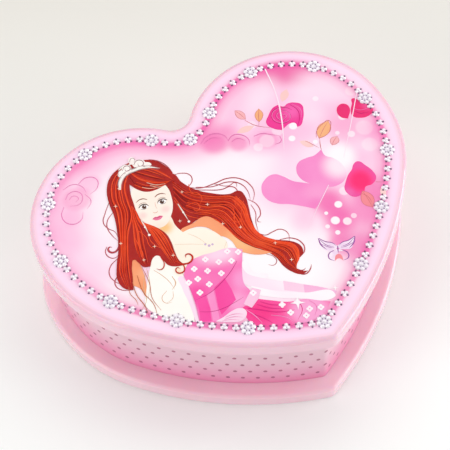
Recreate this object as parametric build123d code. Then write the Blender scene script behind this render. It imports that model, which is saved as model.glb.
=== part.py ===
"""Heart-shaped wind-up music box: hinged picture lid, dotted wall, stepped base, jewel tray,
turning figure and an 18-note movement wound by a key in a well under the base.

Millimetres. +Z is up, +X is to the right and the heart's tip points to -Y. The origin is the middle
of the base's bounding box, on the surface that it stands on. Every solid is built in that frame.
"""
from build123d import *
import math
import os

# ---------------------------------------------------------------- heart outline (outer face of the wall)
WALL_WIDTH = 158.0          # widest, across the shoulders
LOBE_R = 40.0               # the two round tops
SHOULDER_R = 59.5           # from lobe to long side
SIDE_R = 154.5              # the long sides, down to the tip
CLEFT_R = 14.0              # hollow curve between the lobes
LOBE_END = 5.0              # degrees from +X where lobe turns into shoulder
SHOULDER_END = -38.5        # and where shoulder turns into side
# ---------------------------------------------------------------- steps of the outline, outward from the wall
BASE_STEP = 7.2
LID_STEP = 5.8
WALL_T = 2.0
# ---------------------------------------------------------------- heights
BASE_H = 7.6
FLOOR_T = 2.0
WALL_TOP = 47.2
LID_GAP = 0.2               # the closed lid's clearance over the wall
LID_BOTTOM = WALL_TOP + LID_GAP
HEIGHT = 55.6
SHELL_T = 2.0               # moulded wall thickness of base and lid
PICTURE_T = 0.8
DECK_INNER = -6.0           # inner edge of the base ring
COVER_Z = 0.8               # the bottom cover is set in by this much
COVER_T = 1.6
# ---------------------------------------------------------------- key, well and winding arbor
WELL_R = 17.4
WELL_WALL = 1.4
KEY_HALF = 12.0
ARBOR_R = 2.0
ARBOR_DRUM_R = 3.2
RUNNING = 0.06              # radial clearance of a shaft in its bearing
# ---------------------------------------------------------------- movement
AXIS_Y = 11.0               # winding arbor, barrel and turntable share one upright axis
BED_Z = 10.6
BED_T = 2.4
BED_TOP = BED_Z + BED_T
BARREL_R = 13.5
BARREL_WALL = 0.9
BARREL_Z = 14.0
BARREL_TOP = 26.0
CAP_T = 1.0
POST_R = 1.6
POST_TOP = 34.6
CROWN_TEETH = 36
PINION_TEETH = 12
CROWN_MODULE = 0.8
CROWN_R = CROWN_MODULE * CROWN_TEETH / 2
PINION_R = CROWN_MODULE * PINION_TEETH / 2
CROWN_PITCH_Z = BARREL_Z + 1.9
DRUM_Z = CROWN_PITCH_Z + PINION_R     # height of the pinned cylinder's axis
DRUM_R = 6.2
PIN_H = 0.7
PIN_R = 0.2
NOTES = 18
NOTE_PITCH = 0.92
DRUM_FRONT = AXIS_Y - 17.8            # the end of the drum next to the barrel
DRUM_LENGTH = NOTES * NOTE_PITCH + 0.8
WHEEL_TEETH = 36
TRAIN_TEETH = 12
TRAIN_MODULE = 0.4
WHEEL_R = TRAIN_MODULE * WHEEL_TEETH / 2
TRAIN_R = TRAIN_MODULE * TRAIN_TEETH / 2
TRAIN_X = -(WHEEL_R + TRAIN_R)
WHEEL_Y = DRUM_FRONT - DRUM_LENGTH - 0.3   # near face of the cylinder's wheel
WHEEL_T = 1.5
PLATE_Y = WHEEL_Y - WHEEL_T - 0.4          # near face of the end plate
PLATE_T = 1.2
WORM_TEETH = 20
WORM_MODULE = 0.6
WORM_WHEEL_R = WORM_MODULE * WORM_TEETH / 2
WORM_WHEEL_Y = PLATE_Y - PLATE_T - 0.5
WORM_WHEEL_T = 1.2
WORM_CIRCLE_R = 1.35
WORM_THROW = 0.55
WORM_DISTANCE = 7.5
WORM_LEAD = math.pi * WORM_MODULE
GOVERNOR_X = TRAIN_X - WORM_DISTANCE
GOVERNOR_Y = WORM_WHEEL_Y - WORM_WHEEL_T / 2
FAN_Z = 26.8
FAN_TOP = 29.2
BRAKE_R = 4.3
BRAKE_TOP = 29.6
BRIDGE_Z = 30.3
BED_BACK = AXIS_Y + 15.5
BED_FRONT = GOVERNOR_Y - 3.4
BED_RIGHT = 20.5
BED_LEFT = -25.0
# ---------------------------------------------------------------- stop plunger
PLUNGER_X = GOVERNOR_X + 3.2
PLUNGER_R = 1.1
SPRING_SEAT = 34.0          # upper face of the guide that the plunger's spring stands on
COLLAR_Z = 37.0
# ---------------------------------------------------------------- tray, stage and figure
TRAY_TOP = 44.0
TRAY_T = 1.2
POCKET_FLOOR = BASE_H + FLOOR_T + TRAY_T
STAGE_R = 32.0
STAGE_FLOOR = 31.4
RING_FLOOR = 31.4
RING_BACK = -34.0           # Y of the ring pocket's straight side
POCKET_FRONT = -22.0         # Y of the side pockets' straight sides
POCKET_INNER = 27.2
MIRROR_T = 1.2
FIGURE_Z = 40.2             # height of the figure's fold pin
FIGURE_LEN = 30.0
# ---------------------------------------------------------------- lid hinge
HINGE_Y_OUT = 2.4           # pin axis, outward from the wall
HINGE_DOWN = 2.4            # and below the lid's underside
HINGE_PIN_R = 0.8
HINGE_LUG = 6.0             # width of the lid's lug
HINGE_KNUCKLE = 4.0         # width of each knuckle on the wall
HINGE_R = 1.9


def unit(degrees):
    return Vector(math.cos(math.radians(degrees)), math.sin(math.radians(degrees)))


def heart_centres():
    """Centres of lobe, shoulder and side arc on the right half, before the outline is centred."""
    lobe_to_shoulder = unit(LOBE_END) * (LOBE_R - SHOULDER_R)
    lobe = Vector(WALL_WIDTH / 2 - SHOULDER_R - lobe_to_shoulder.X, 0)
    shoulder = lobe + lobe_to_shoulder
    side = shoulder + unit(SHOULDER_END) * (SHOULDER_R - SIDE_R)
    return lobe, shoulder, side


LOBE_C, SHOULDER_C, SIDE_C = heart_centres()


def tip_centre(offset, tip_r):
    """Centre, on X = 0, of the small circle that rounds the tip."""
    reach = SIDE_R + offset - tip_r
    return Vector(0, SIDE_C.Y - math.sqrt(reach ** 2 - SIDE_C.X ** 2))


BASE_TIP_R = 5.0
HEART_Y = -(LOBE_R + BASE_STEP + tip_centre(BASE_STEP, BASE_TIP_R).Y - BASE_TIP_R) / 2
SHIFT = Pos(0, HEART_Y, 0)


def heart(offset, tip_r=3.0):
    """The heart outline as a face, moved outward from the wall's outer face by offset."""
    tip = tip_centre(offset, tip_r)
    tip_end = math.degrees(math.atan2(tip.Y - SIDE_C.Y, tip.X - SIDE_C.X))
    cleft_r = CLEFT_R - offset
    cleft = Vector(0, math.sqrt((LOBE_R + offset + cleft_r) ** 2 - LOBE_C.X ** 2))
    lobe_end = math.degrees(math.atan2(cleft.Y, -LOBE_C.X))
    right = [
        CenterArc(tip, tip_r, -90, tip_end + 90),
        CenterArc(SIDE_C, SIDE_R + offset, tip_end, SHOULDER_END - tip_end),
        CenterArc(SHOULDER_C, SHOULDER_R + offset, SHOULDER_END, LOBE_END - SHOULDER_END),
        CenterArc(LOBE_C, LOBE_R + offset, LOBE_END, lobe_end - LOBE_END),
        CenterArc(cleft, cleft_r, lobe_end - 180, -90 - (lobe_end - 180)),
    ]
    left = [mirror(edge, about=Plane.YZ) for edge in right]
    return SHIFT * make_face(right + left)


def slab(face, low, high):
    """The face as a plate between two heights."""
    return extrude(Pos(0, 0, low) * face, high - low, dir=(0, 0, 1))


def post(x, y, radius, low, high):
    return Pos(x, y, low) * Cylinder(radius, high - low, align=(Align.CENTER, Align.CENTER, Align.MIN))


def bar(x0, x1, y0, y1, z0, z1):
    return Pos(min(x0, x1), min(y0, y1), min(z0, z1)) * Box(
        abs(x1 - x0), abs(y1 - y0), abs(z1 - z0), align=(Align.MIN, Align.MIN, Align.MIN))


def rod_x(x0, x1, y, z, radius):
    return Pos((x0 + x1) / 2, y, z) * Rot(0, 90, 0) * Cylinder(radius, abs(x1 - x0))


def rod_y(y0, y1, x, z, radius):
    return Pos(x, (y0 + y1) / 2, z) * Rot(90, 0, 0) * Cylinder(radius, abs(y1 - y0))


def gear(teeth, pitch_r, tip_r, root_r, root_half, tip_half, first=0.0):
    """A wheel's outline with slender straight-sided teeth, the first one at an angle from +X."""
    points = []
    for tooth in range(teeth):
        middle = first + 360 * tooth / teeth
        flank = ((root_r, root_half), (tip_r, tip_half))
        corners = [(radius, -half) for radius, half in flank] + list(reversed(flank))
        for radius, half in corners:
            points.append(unit(middle + math.degrees(half / radius)) * radius)
    return make_face(Polyline(*points, close=True))


def upright(face, x, y, z, thickness):
    """A wheel's outline stood up: its axis runs to -Y from y, and its +X stays +X."""
    return Pos(x, y, z) * Rot(90, 0, 0) * extrude(face, thickness, dir=(0, 0, 1))


NODES = {}


def keep(name, shape):
    NODES[name] = shape


# ---------------------------------------------------------------- base
def cover_screw_places():
    """Five screw places round the base ring: two by the lobes, two on the sides, one at the tip."""
    ring = -0.6
    places = []
    for side in (-1, 1):
        for centre, radius, angle in ((LOBE_C, LOBE_R, 62), (SIDE_C, SIDE_R, SHOULDER_END - 6)):
            point = centre + unit(angle) * (radius + ring)
            places.append((side * point.X, point.Y + HEART_Y))
    places.append((0, tip_centre(0, 3).Y + HEART_Y + 3))
    return places


BOSS_R = 3.2
SCREW_R = 1.1


def base_plinth():
    outer = slab(heart(BASE_STEP, BASE_TIP_R), 0, BASE_H)
    outer = fillet(outer.faces().sort_by(Axis.Z)[-1].outer_wire().edges(), 1.6)
    outer = chamfer(outer.faces().sort_by(Axis.Z)[0].outer_wire().edges(), 0.4)
    hollow = slab(heart(BASE_STEP - SHELL_T, BASE_TIP_R - SHELL_T), 0, BASE_H - SHELL_T)
    body = outer - hollow - slab(heart(DECK_INNER), 0, BASE_H)
    for x, y in cover_screw_places():
        body += post(x, y, BOSS_R, COVER_Z + COVER_T, BASE_H - SHELL_T)
        body -= post(x, y, SCREW_R, COVER_Z + COVER_T, BASE_H - SHELL_T)
    keep("base_plinth", body)


def bottom_cover():
    top = COVER_Z + COVER_T
    plate = slab(heart(BASE_STEP - SHELL_T - 0.2, BASE_TIP_R - SHELL_T), COVER_Z, top)
    plate += post(0, AXIS_Y, WELL_R + WELL_WALL, COVER_Z, BASE_H)
    plate -= post(0, AXIS_Y, WELL_R, 0, BASE_H)
    for x, y in cover_screw_places():
        plate -= post(x, y, SCREW_R + 0.2, 0, top)
        plate -= Pos(x, y, COVER_Z + 0.5) * Cone(2.3, SCREW_R + 0.2, 1.0)
    keep("bottom_cover", plate)


def screw(x, y, head_z, length, shank_r, head_r, up=True):
    """A pan-head screw with a cross slot; its head's outer face is at head_z."""
    head_h = 0.55 * head_r
    body = post(0, 0, head_r, 0, head_h) + post(0, 0, shank_r, head_h, head_h + length)
    body = fillet(body.faces().sort_by(Axis.Z)[0].edges(), 0.25 * head_r)
    slot = 0.16 * head_r
    arm = 0.6 * head_r
    body -= bar(-arm, arm, -slot, slot, 0, 0.4 * head_h) + bar(-slot, slot, -arm, arm, 0, 0.4 * head_h)
    return Pos(x, y, head_z) * (body if up else Rot(180, 0, 0) * body)


def cover_screws():
    """Countersunk screws that hold the bottom cover to the base ring."""
    screws = []
    for x, y in cover_screw_places():
        head = Cone(2.2, SCREW_R, 0.9, align=(Align.CENTER, Align.CENTER, Align.MIN))
        body = head + post(0, 0, SCREW_R, 0.9, 4.2)
        body -= bar(-1.2, 1.2, -0.2, 0.2, 0, 0.4) + bar(-0.2, 0.2, -1.2, 1.2, 0, 0.4)
        screws.append(Pos(x, y, COVER_Z + 0.02) * body)
    keep("cover_screws", Compound(screws))


# ---------------------------------------------------------------- box
HINGE_X = LOBE_C.X
HINGE_Y = HEART_Y + LOBE_R + HINGE_Y_OUT
HINGE_Z = LID_BOTTOM - HINGE_DOWN
LUG_INSET = 3.2
BED_LUGS = (
    (BED_RIGHT - LUG_INSET, BED_BACK - LUG_INSET),
    (BED_LEFT + LUG_INSET, BED_BACK - LUG_INSET),
    (BED_RIGHT - LUG_INSET, BED_FRONT + LUG_INSET),
)


def knuckle(x0, x1, tail):
    """A hinge knuckle: a round eye on the pin's axis, joined to its part by a tail."""
    return rod_x(x0, x1, HINGE_Y, HINGE_Z, HINGE_R) + tail


def box_shell():
    body = slab(heart(0), BASE_H, WALL_TOP) - slab(heart(-WALL_T, 1.5), BASE_H + FLOOR_T, WALL_TOP)
    for side in (-1, 1):
        for step in (-1, 1):
            near = side * HINGE_X + step * (HINGE_LUG / 2 + 0.2)
            far = near + step * HINGE_KNUCKLE
            low = HINGE_Z - HINGE_R
            tail = bar(near, far, HINGE_Y - HINGE_Y_OUT - 1.0, HINGE_Y, low, HINGE_Z + 0.4)
            body += knuckle(near, far, tail)
            body -= rod_x(near, far, HINGE_Y, HINGE_Z, HINGE_PIN_R)
    for x, y in BED_LUGS:
        body += post(x, y, 3.0, BASE_H + FLOOR_T, BED_Z)
        body -= post(x, y, 1.3, BASE_H, BED_Z)
    body -= post(0, AXIS_Y, 6.0, BASE_H, BASE_H + FLOOR_T)
    keep("box_shell", body)


WRAP_T = 0.3
WRAP_LOW = BASE_H + 0.1
WRAP_HIGH = WALL_TOP - 0.5


def side_wrap():
    band = slab(heart(WRAP_T, 3.0 + WRAP_T), WRAP_LOW, WRAP_HIGH) - slab(heart(0), WRAP_LOW, WRAP_HIGH)
    half = HINGE_LUG / 2 + HINGE_KNUCKLE + 1.0
    for side in (-1, 1):
        x = side * HINGE_X
        band -= bar(x - half, x + half, HINGE_Y - 8, HINGE_Y + 4, HINGE_Z - HINGE_R - 2.0, WALL_TOP)
    keep("side_wrap", band)


def hinge_pins():
    reach = HINGE_LUG / 2 + 0.2 + HINGE_KNUCKLE + 0.3
    for name, side in (("hinge_pin_left", -1), ("hinge_pin_right", 1)):
        keep(name, rod_x(side * HINGE_X - reach, side * HINGE_X + reach, HINGE_Y, HINGE_Z, HINGE_PIN_R))


# ---------------------------------------------------------------- lid
LINER_T = 1.8
LINER_STEP = LID_STEP - SHELL_T - 0.1
WINDOW_STEP = -12.0
LID_TIP_R = 4.0
PICTURE_STEP = LID_STEP - 1.9
PICTURE_TIP_R = 2.6
MIRROR_LAP = 3.0              # the mirror overlaps its window by this much


def lid_shell():
    plate_low = HEIGHT - PICTURE_T - SHELL_T
    body = slab(heart(LID_STEP, LID_TIP_R), LID_BOTTOM, HEIGHT)
    body = fillet(body.faces().sort_by(Axis.Z)[-1].outer_wire().edges(), 1.8)
    body = chamfer(body.faces().sort_by(Axis.Z)[0].outer_wire().edges(), 0.5)
    body -= slab(heart(LID_STEP - SHELL_T, LID_TIP_R - SHELL_T), LID_BOTTOM, plate_low)
    body -= slab(heart(PICTURE_STEP, PICTURE_TIP_R), HEIGHT - PICTURE_T, HEIGHT)
    keep("lid_shell", body)


def lid_picture():
    sheet = slab(heart(PICTURE_STEP, PICTURE_TIP_R), HEIGHT - PICTURE_T, HEIGHT)
    keep("lid_picture", sheet)


def lid_liner():
    """The lid's inner plate, which frames the mirror and carries the two hinge lugs."""
    body = slab(heart(LINER_STEP, 2.0), LID_BOTTOM, LID_BOTTOM + LINER_T)
    window = slab(heart(WINDOW_STEP, 2.0), LID_BOTTOM, LID_BOTTOM + LINER_T)
    body -= window
    bead = slab(heart(WINDOW_STEP + 2.6, 3.0), LID_BOTTOM - 0.8, LID_BOTTOM)
    body += bead - slab(heart(WINDOW_STEP, 2.0), LID_BOTTOM - 0.8, LID_BOTTOM)
    half = HINGE_LUG / 2
    for side in (-1, 1):
        x = side * HINGE_X
        web = bar(x - half, x + half, HINGE_Y - 1.4, HINGE_Y + 1.2, HINGE_Z, LID_BOTTOM + LINER_T)
        heel = bar(x - half, x + half, HINGE_Y - 0.9, HINGE_Y + 0.9, HINGE_Z - 2.15, HINGE_Z)
        body += knuckle(x - half, x + half, web + heel)
        body -= rod_x(x - half, x + half, HINGE_Y, HINGE_Z, HINGE_PIN_R + RUNNING)
    keep("lid_liner", body)


def lid_mirror():
    low = LID_BOTTOM + LINER_T
    keep("lid_mirror", slab(heart(WINDOW_STEP + MIRROR_LAP, 3.0), low, low + 1.6))


# ---------------------------------------------------------------- tray
def rounded(face, radius):
    """The outline with its outward corners rounded."""
    return offset(offset(face, -radius, kind=Kind.ARC), radius, kind=Kind.ARC)


def pocket_faces():
    """The tray's openings: two big side pockets, the ring pocket at the tip and the stage."""
    inside = heart(-7.0, 3.0)
    stage = Pos(0, AXIS_Y) * Circle(STAGE_R)
    around = Pos(0, AXIS_Y) * Circle(STAGE_R + 4.0)
    above = Pos(0, POCKET_FRONT + 100) * Rectangle(200, 200)
    movement = Rectangle(2 * POCKET_INNER, 200)
    sides = (inside - around - movement) & above
    pockets = [rounded(face, 3.0) for face in sides.faces()]
    tip = inside & (Pos(0, RING_BACK - 100) * Rectangle(200, 200))
    return pockets, rounded(tip.faces()[0], 2.5), stage


def grown(face, amount):
    return offset(face, amount)


def jewel_tray():
    pockets, ring, stage = pocket_faces()
    top = slab(heart(-WALL_T - 0.4, 1.5), TRAY_TOP - TRAY_T, TRAY_TOP)
    wells = [(face, POCKET_FLOOR) for face in pockets] + [(ring, RING_FLOOR), (stage, STAGE_FLOOR)]
    for face, floor in wells:
        top += slab(grown(face, TRAY_T), floor - TRAY_T, TRAY_TOP - TRAY_T)
    for face, floor in wells:
        top -= slab(face, floor, TRAY_TOP)
    top -= post(0, AXIS_Y, 4.6, STAGE_FLOOR - TRAY_T, STAGE_FLOOR)
    top -= post(PLUNGER_X, GOVERNOR_Y, PLUNGER_R + 0.3, TRAY_TOP - TRAY_T, TRAY_TOP)
    keep("jewel_tray", top)


ROLL_D = 6.4
ROLL_GAP = 0.4


def ring_rolls():
    """Three foam rolls, flock covered, that hold rings between them; each is cut to the pocket's width."""
    _, ring, _ = pocket_faces()
    room = slab(grown(ring, -0.4), RING_FLOOR + 0.1, TRAY_TOP)
    for number in range(3):
        middle = RING_BACK - 0.6 - ROLL_D / 2 - number * (ROLL_D + ROLL_GAP)
        low = RING_FLOOR + 0.1
        arch = rod_x(-50, 50, middle, TRAY_TOP - 0.6 - ROLL_D / 2, ROLL_D / 2)
        arch += bar(-50, 50, middle - ROLL_D / 2, middle + ROLL_D / 2, low, TRAY_TOP - 0.6 - ROLL_D / 2)
        keep(f"ring_roll_{number + 1}", arch & room)


def stage_mirror():
    disc = post(0, AXIS_Y, STAGE_R - 0.4, STAGE_FLOOR, STAGE_FLOOR + MIRROR_T)
    keep("stage_mirror", disc - post(0, AXIS_Y, 4.2, STAGE_FLOOR, STAGE_FLOOR + MIRROR_T))


# ---------------------------------------------------------------- figure on its turntable
EAR_GAP = 1.3
EAR_T = 1.2
EAR_R = 1.5
FOLD_PIN_R = 0.5


def turntable():
    top = STAGE_FLOOR + MIRROR_T + 2.0
    body = post(0, AXIS_Y, 3.4, POST_TOP - 5.0, top) + post(0, AXIS_Y, 7.5, top - 1.4, top)
    body = fillet(body.faces().sort_by(Axis.Z)[-1].edges(), 0.5)
    for side in (-1, 1):
        x0 = side * EAR_GAP
        x1 = x0 + side * EAR_T
        body += bar(x0, x1, AXIS_Y - EAR_R, AXIS_Y + EAR_R, top - 0.2, FIGURE_Z)
        body += rod_x(x0, x1, AXIS_Y, FIGURE_Z, EAR_R)
        body -= rod_x(x0, x1, AXIS_Y, FIGURE_Z, FOLD_PIN_R)
    body -= post(0, AXIS_Y, POST_R, POST_TOP - 5.0, POST_TOP)
    keep("turntable", body)


def fold_pin():
    reach = EAR_GAP + EAR_T + 0.2
    keep("fold_pin", rod_x(-reach, reach, AXIS_Y, FIGURE_Z, FOLD_PIN_R))


def turned(profile):
    """A solid turned about the figure's own long axis, which lies along -Y at the fold pin's height."""
    face = make_face(Polyline(*profile, close=True))
    return Pos(0, AXIS_Y, FIGURE_Z) * Rot(90, 0, 0) * revolve(Plane.XZ * face, Axis.Z)


def dancer():
    """A slim figure in a long gown, folded down: leg, gown, bodice, head with hair knot, raised arms."""
    skirt = [(0, 6.0), (4.9, 6.0), (5.1, 6.6), (4.2, 10.5), (2.6, 14.5), (1.5, 17.0)]
    bodice = [(2.1, 19.0), (2.2, 20.5), (0.9, 21.6), (0.8, 22.0), (0, 22.0)]
    gown = turned(skirt + bodice)
    leg = turned([(0, 0.9), (0.9, 0.9), (0.8, 4.0), (1.0, 6.0), (0, 6.0)])
    eye = rod_x(-EAR_GAP + 0.15, EAR_GAP - 0.15, AXIS_Y, FIGURE_Z, 1.3)
    eye -= rod_x(-EAR_GAP, EAR_GAP, AXIS_Y, FIGURE_Z, FOLD_PIN_R + RUNNING)
    keep("dancer_leg", (eye + leg) - rod_x(-EAR_GAP, EAR_GAP, AXIS_Y, FIGURE_Z, FOLD_PIN_R + RUNNING))
    head = Pos(0, AXIS_Y - 24.4, FIGURE_Z) * Sphere(2.1)
    neck = rod_y(AXIS_Y - 22.0, AXIS_Y - 24.0, 0, FIGURE_Z, 0.8)
    keep("dancer_head", head + neck)
    arms = []
    for side in (-1, 1):
        path = Spline(
            Vector(side * 1.9, AXIS_Y - 20.6, FIGURE_Z),
            Vector(side * 3.9, AXIS_Y - 24.0, FIGURE_Z),
            Vector(side * 1.0, AXIS_Y - FIGURE_LEN + 0.6, FIGURE_Z),
        )
        arms.append(sweep(Plane(path @ 0, z_dir=path % 0) * Circle(0.55), path))
    keep("dancer_arms", Compound(arms))
    keep("dancer_gown", gown - arms[0] - arms[1])


# ---------------------------------------------------------------- winding
def winding_key():
    """Butterfly key: a thin bar with two round wings and a hub that takes the arbor."""
    hub = post(0, AXIS_Y, 4.2, 1.6, 8.0)
    wing = bar(-KEY_HALF + 4, KEY_HALF - 4, AXIS_Y - 1.2, AXIS_Y + 1.2, 1.2, 6.8)
    for side in (-1, 1):
        x = side * (KEY_HALF - 3.6)
        wing += Pos(x, AXIS_Y, 4.0) * Rot(90, 0, 0) * (Cylinder(2.8, 2.4) - Cylinder(1.2, 2.4))
    body = hub + wing
    body -= post(0, AXIS_Y, ARBOR_R, 3.2, 8.0)
    for side in (-1, 1):
        body -= Pos(side * (KEY_HALF - 3.6), AXIS_Y, 4.0) * Rot(90, 0, 0) * Cylinder(1.2, 3.0)
    keep("winding_key", body)


def winding_arbor():
    body = post(0, AXIS_Y, ARBOR_R, 3.2, BARREL_Z + 1.4)
    body += post(0, AXIS_Y, ARBOR_DRUM_R, BARREL_Z + 1.4, BARREL_TOP - 0.4)
    body += bar(-ARBOR_DRUM_R - 0.5, 0, AXIS_Y - 0.8, AXIS_Y + 0.8, 19.0, 21.5)
    keep("winding_arbor", body)


def click_spring():
    """A close coil on the arbor under the bedplate, which grips it against turning back."""
    wire = 0.25
    middle = ARBOR_R + RUNNING + wire
    top = BED_Z - wire
    coils = [Pos(0, AXIS_Y, top - 1.96 * wire * turn) * Torus(middle, wire) for turn in range(4)]
    leg = rod_x(middle, 6.0, AXIS_Y, top, wire)
    body = coils[0] + leg
    for ring in coils[1:]:
        body += ring
    keep("click_spring", body)


# ---------------------------------------------------------------- barrel
def barrel():
    flange_r = CROWN_R + 1.1
    body = post(0, AXIS_Y, flange_r, BARREL_Z, BARREL_Z + 1.0)
    body += post(0, AXIS_Y, BARREL_R, BARREL_Z, BARREL_TOP)
    body -= post(0, AXIS_Y, BARREL_R - BARREL_WALL, BARREL_Z + 1.0, BARREL_TOP)
    body -= post(0, AXIS_Y, ARBOR_R + RUNNING, BARREL_Z, BARREL_Z + 1.0)
    tooth_face = make_face(Polyline((-0.45, 0), (-0.2, 1.6), (0.2, 1.6), (0.45, 0), close=True))
    tooth = extrude(Plane.XZ * tooth_face, flange_r - BARREL_R + 0.2, dir=(0, 1, 0))
    for number in range(CROWN_TEETH):
        turn = -90 + 360 / CROWN_TEETH * (number + 0.5)
        place = Pos(0, AXIS_Y, BARREL_Z + 1.0) * Rot(0, 0, turn - 90) * Pos(0, BARREL_R - 0.2, 0)
        body += place * tooth
    keep("spring_barrel", body)


def barrel_cap():
    cap_top = BARREL_TOP + CAP_T
    body = post(0, AXIS_Y, BARREL_R, BARREL_TOP, cap_top)
    body += post(0, AXIS_Y, 4.0, cap_top, cap_top + 0.8) + post(0, AXIS_Y, POST_R, BARREL_TOP, POST_TOP)
    keep("barrel_cap", body)


def mainspring():
    """A flat spiral strip, its turns spreading from the arbor to the barrel's wall."""
    turns, inner, outer, thick = 9, ARBOR_DRUM_R + 1.2, BARREL_R - BARREL_WALL - 0.4, 0.35
    steps = 24
    middle = []
    for number in range(turns * steps + 1):
        share = number / (turns * steps)
        radius = inner + (outer - inner) * share
        middle.append(unit(360 * number / steps) * radius)
    inner_side = [p * ((p.length - thick / 2) / p.length) for p in middle]
    outer_side = [p * ((p.length + thick / 2) / p.length) for p in middle]
    strip = Wire([Spline(*inner_side), Line(inner_side[-1], outer_side[-1]), Spline(*reversed(outer_side)),
                  Line(outer_side[0], inner_side[0])])
    keep("mainspring", slab(Pos(0, AXIS_Y) * Face(strip), BARREL_Z + 1.6, BARREL_TOP - 0.6))


# ---------------------------------------------------------------- bedplate and bearings
SHAFT_R = 0.8
FRONT_BEARING_Y = DRUM_FRONT + 0.4
DRUM_BACK = DRUM_FRONT - DRUM_LENGTH
COMB_Z = DRUM_Z - 0.5
COMB_T = 1.0
SEAT_X = 12.5


def bedplate():
    body = bar(BED_LEFT, BED_RIGHT, BED_FRONT, BED_BACK, BED_Z, BED_TOP)
    body = fillet(body.edges().filter_by(Axis.Z), 3.0)
    body += bar(SEAT_X, BED_RIGHT, DRUM_BACK - 0.2, DRUM_FRONT + 0.2, BED_TOP, COMB_Z)
    body -= post(0, AXIS_Y, ARBOR_R + RUNNING, BED_Z, BED_TOP)
    body -= post(GOVERNOR_X, GOVERNOR_Y, 0.5 + RUNNING, BED_TOP - 1.2, BED_TOP)
    for x, y in BED_LUGS:
        body -= post(x, y, 1.1, BED_Z, BED_TOP)
    for x, y in comb_screw_places():
        body -= post(x, y, 0.9, COMB_Z - 4.0, COMB_Z)
    keep("bedplate", body)


def bearing_plate(name, y0, y1, x0, x1, top, holes):
    """A small upright plate on the bedplate with one hole for each shaft that it carries."""
    body = bar(x0, x1, y0, y1, BED_TOP, top)
    corners = body.edges().filter_by(Axis.Y).sort_by(Axis.Z)[-2:]
    body = fillet(corners, 1.2)
    for x in holes:
        body -= rod_y(y0 - 1, y1 + 1, x, DRUM_Z, SHAFT_R + RUNNING)
    keep(name, body)


def bearings():
    top = DRUM_Z + 2.4
    bearing_plate("front_bearing", FRONT_BEARING_Y, FRONT_BEARING_Y + PLATE_T, -3.2, 3.2, top, [0])
    bearing_plate("end_plate", PLATE_Y - PLATE_T, PLATE_Y, TRAIN_X - 2.0, 3.2, top, [0, TRAIN_X])


# ---------------------------------------------------------------- pinned cylinder
PINION_Y = AXIS_Y - BARREL_R - 0.5


def cylinder_drum():
    body = rod_y(DRUM_FRONT, DRUM_BACK, 0, DRUM_Z, DRUM_R)
    pins = []
    for note in range(NOTES):
        y = DRUM_FRONT - 0.4 - NOTE_PITCH * (note + 0.5)
        for strike in range(4):
            angle = (note * 137.5 + strike * 83.0 + 20 * math.sin(note + strike)) % 360
            pin = Pos(DRUM_R + PIN_H / 2 - 0.3, 0, 0) * Rot(0, 90, 0) * Cylinder(PIN_R, PIN_H + 0.6)
            pins.append(Pos(0, y, DRUM_Z) * Rot(0, angle, 0) * pin)
    body = body.fuse(*pins)
    body -= rod_y(DRUM_FRONT, DRUM_BACK, 0, DRUM_Z, SHAFT_R)
    keep("pinned_cylinder", body)


def cylinder_shaft():
    keep("cylinder_shaft", rod_y(PINION_Y, PLATE_Y - PLATE_T - 0.3, 0, DRUM_Z, SHAFT_R))


def drive_pinion():
    outline = gear(PINION_TEETH, PINION_R, PINION_R + 0.55, PINION_R - 1.0, 0.55, 0.22, first=-90)
    body = upright(outline, 0, PINION_Y, DRUM_Z, 1.8)
    keep("drive_pinion", body - rod_y(PINION_Y + 1, PINION_Y - 3, 0, DRUM_Z, SHAFT_R))


def cylinder_wheel():
    outline = gear(WHEEL_TEETH, WHEEL_R, WHEEL_R + 0.3, WHEEL_R - 0.5, 0.3, 0.13)
    body = upright(outline, 0, WHEEL_Y, DRUM_Z, WHEEL_T)
    keep("cylinder_wheel", body - rod_y(WHEEL_Y + 1, WHEEL_Y - 3, 0, DRUM_Z, SHAFT_R))


# ---------------------------------------------------------------- comb
COMB_LEFT = DRUM_R + PIN_H + 0.15


def comb_screw_places():
    middle = (DRUM_FRONT + DRUM_BACK) / 2
    return [(SEAT_X + 4.6, middle + step) for step in (-6.0, 6.0)]


def comb():
    """Steel comb: one tooth for each note, the slots longer at the bass end."""
    first = DRUM_FRONT - 0.4
    body = bar(COMB_LEFT, BED_RIGHT - 0.6, DRUM_BACK + 0.4, first, COMB_Z, COMB_Z + COMB_T)
    for note in range(1, NOTES):
        y = first - NOTE_PITCH * note
        depth = 8.6 - 0.22 * note
        body -= bar(COMB_LEFT, COMB_LEFT + depth, y - 0.15, y + 0.15, COMB_Z, COMB_Z + COMB_T)
    thin = bar(COMB_LEFT, COMB_LEFT + 5.5, DRUM_BACK, DRUM_FRONT, COMB_Z + 0.6, COMB_Z + COMB_T)
    body -= thin
    for x, y in comb_screw_places():
        body -= post(x, y, 1.1, COMB_Z, COMB_Z + COMB_T)
    keep("comb", body)


def comb_screws():
    top = COMB_Z + COMB_T
    head = top + 0.99
    screws = [screw(x, y, head, 4.0, 0.9, 1.8, up=False) for x, y in comb_screw_places()]
    keep("comb_screws", Compound(screws))


# ---------------------------------------------------------------- governor train
def train_shaft():
    keep("train_shaft", rod_y(WHEEL_Y + 0.2, WORM_WHEEL_Y - WORM_WHEEL_T - 0.3, TRAIN_X, DRUM_Z, SHAFT_R))


def train_pinion():
    outline = gear(TRAIN_TEETH, TRAIN_R, TRAIN_R + 0.3, TRAIN_R - 0.5, 0.26, 0.12, first=15)
    body = upright(outline, TRAIN_X, WHEEL_Y, DRUM_Z, WHEEL_T)
    keep("train_pinion", body - rod_y(WHEEL_Y + 1, WHEEL_Y - 3, TRAIN_X, DRUM_Z, SHAFT_R))


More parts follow.
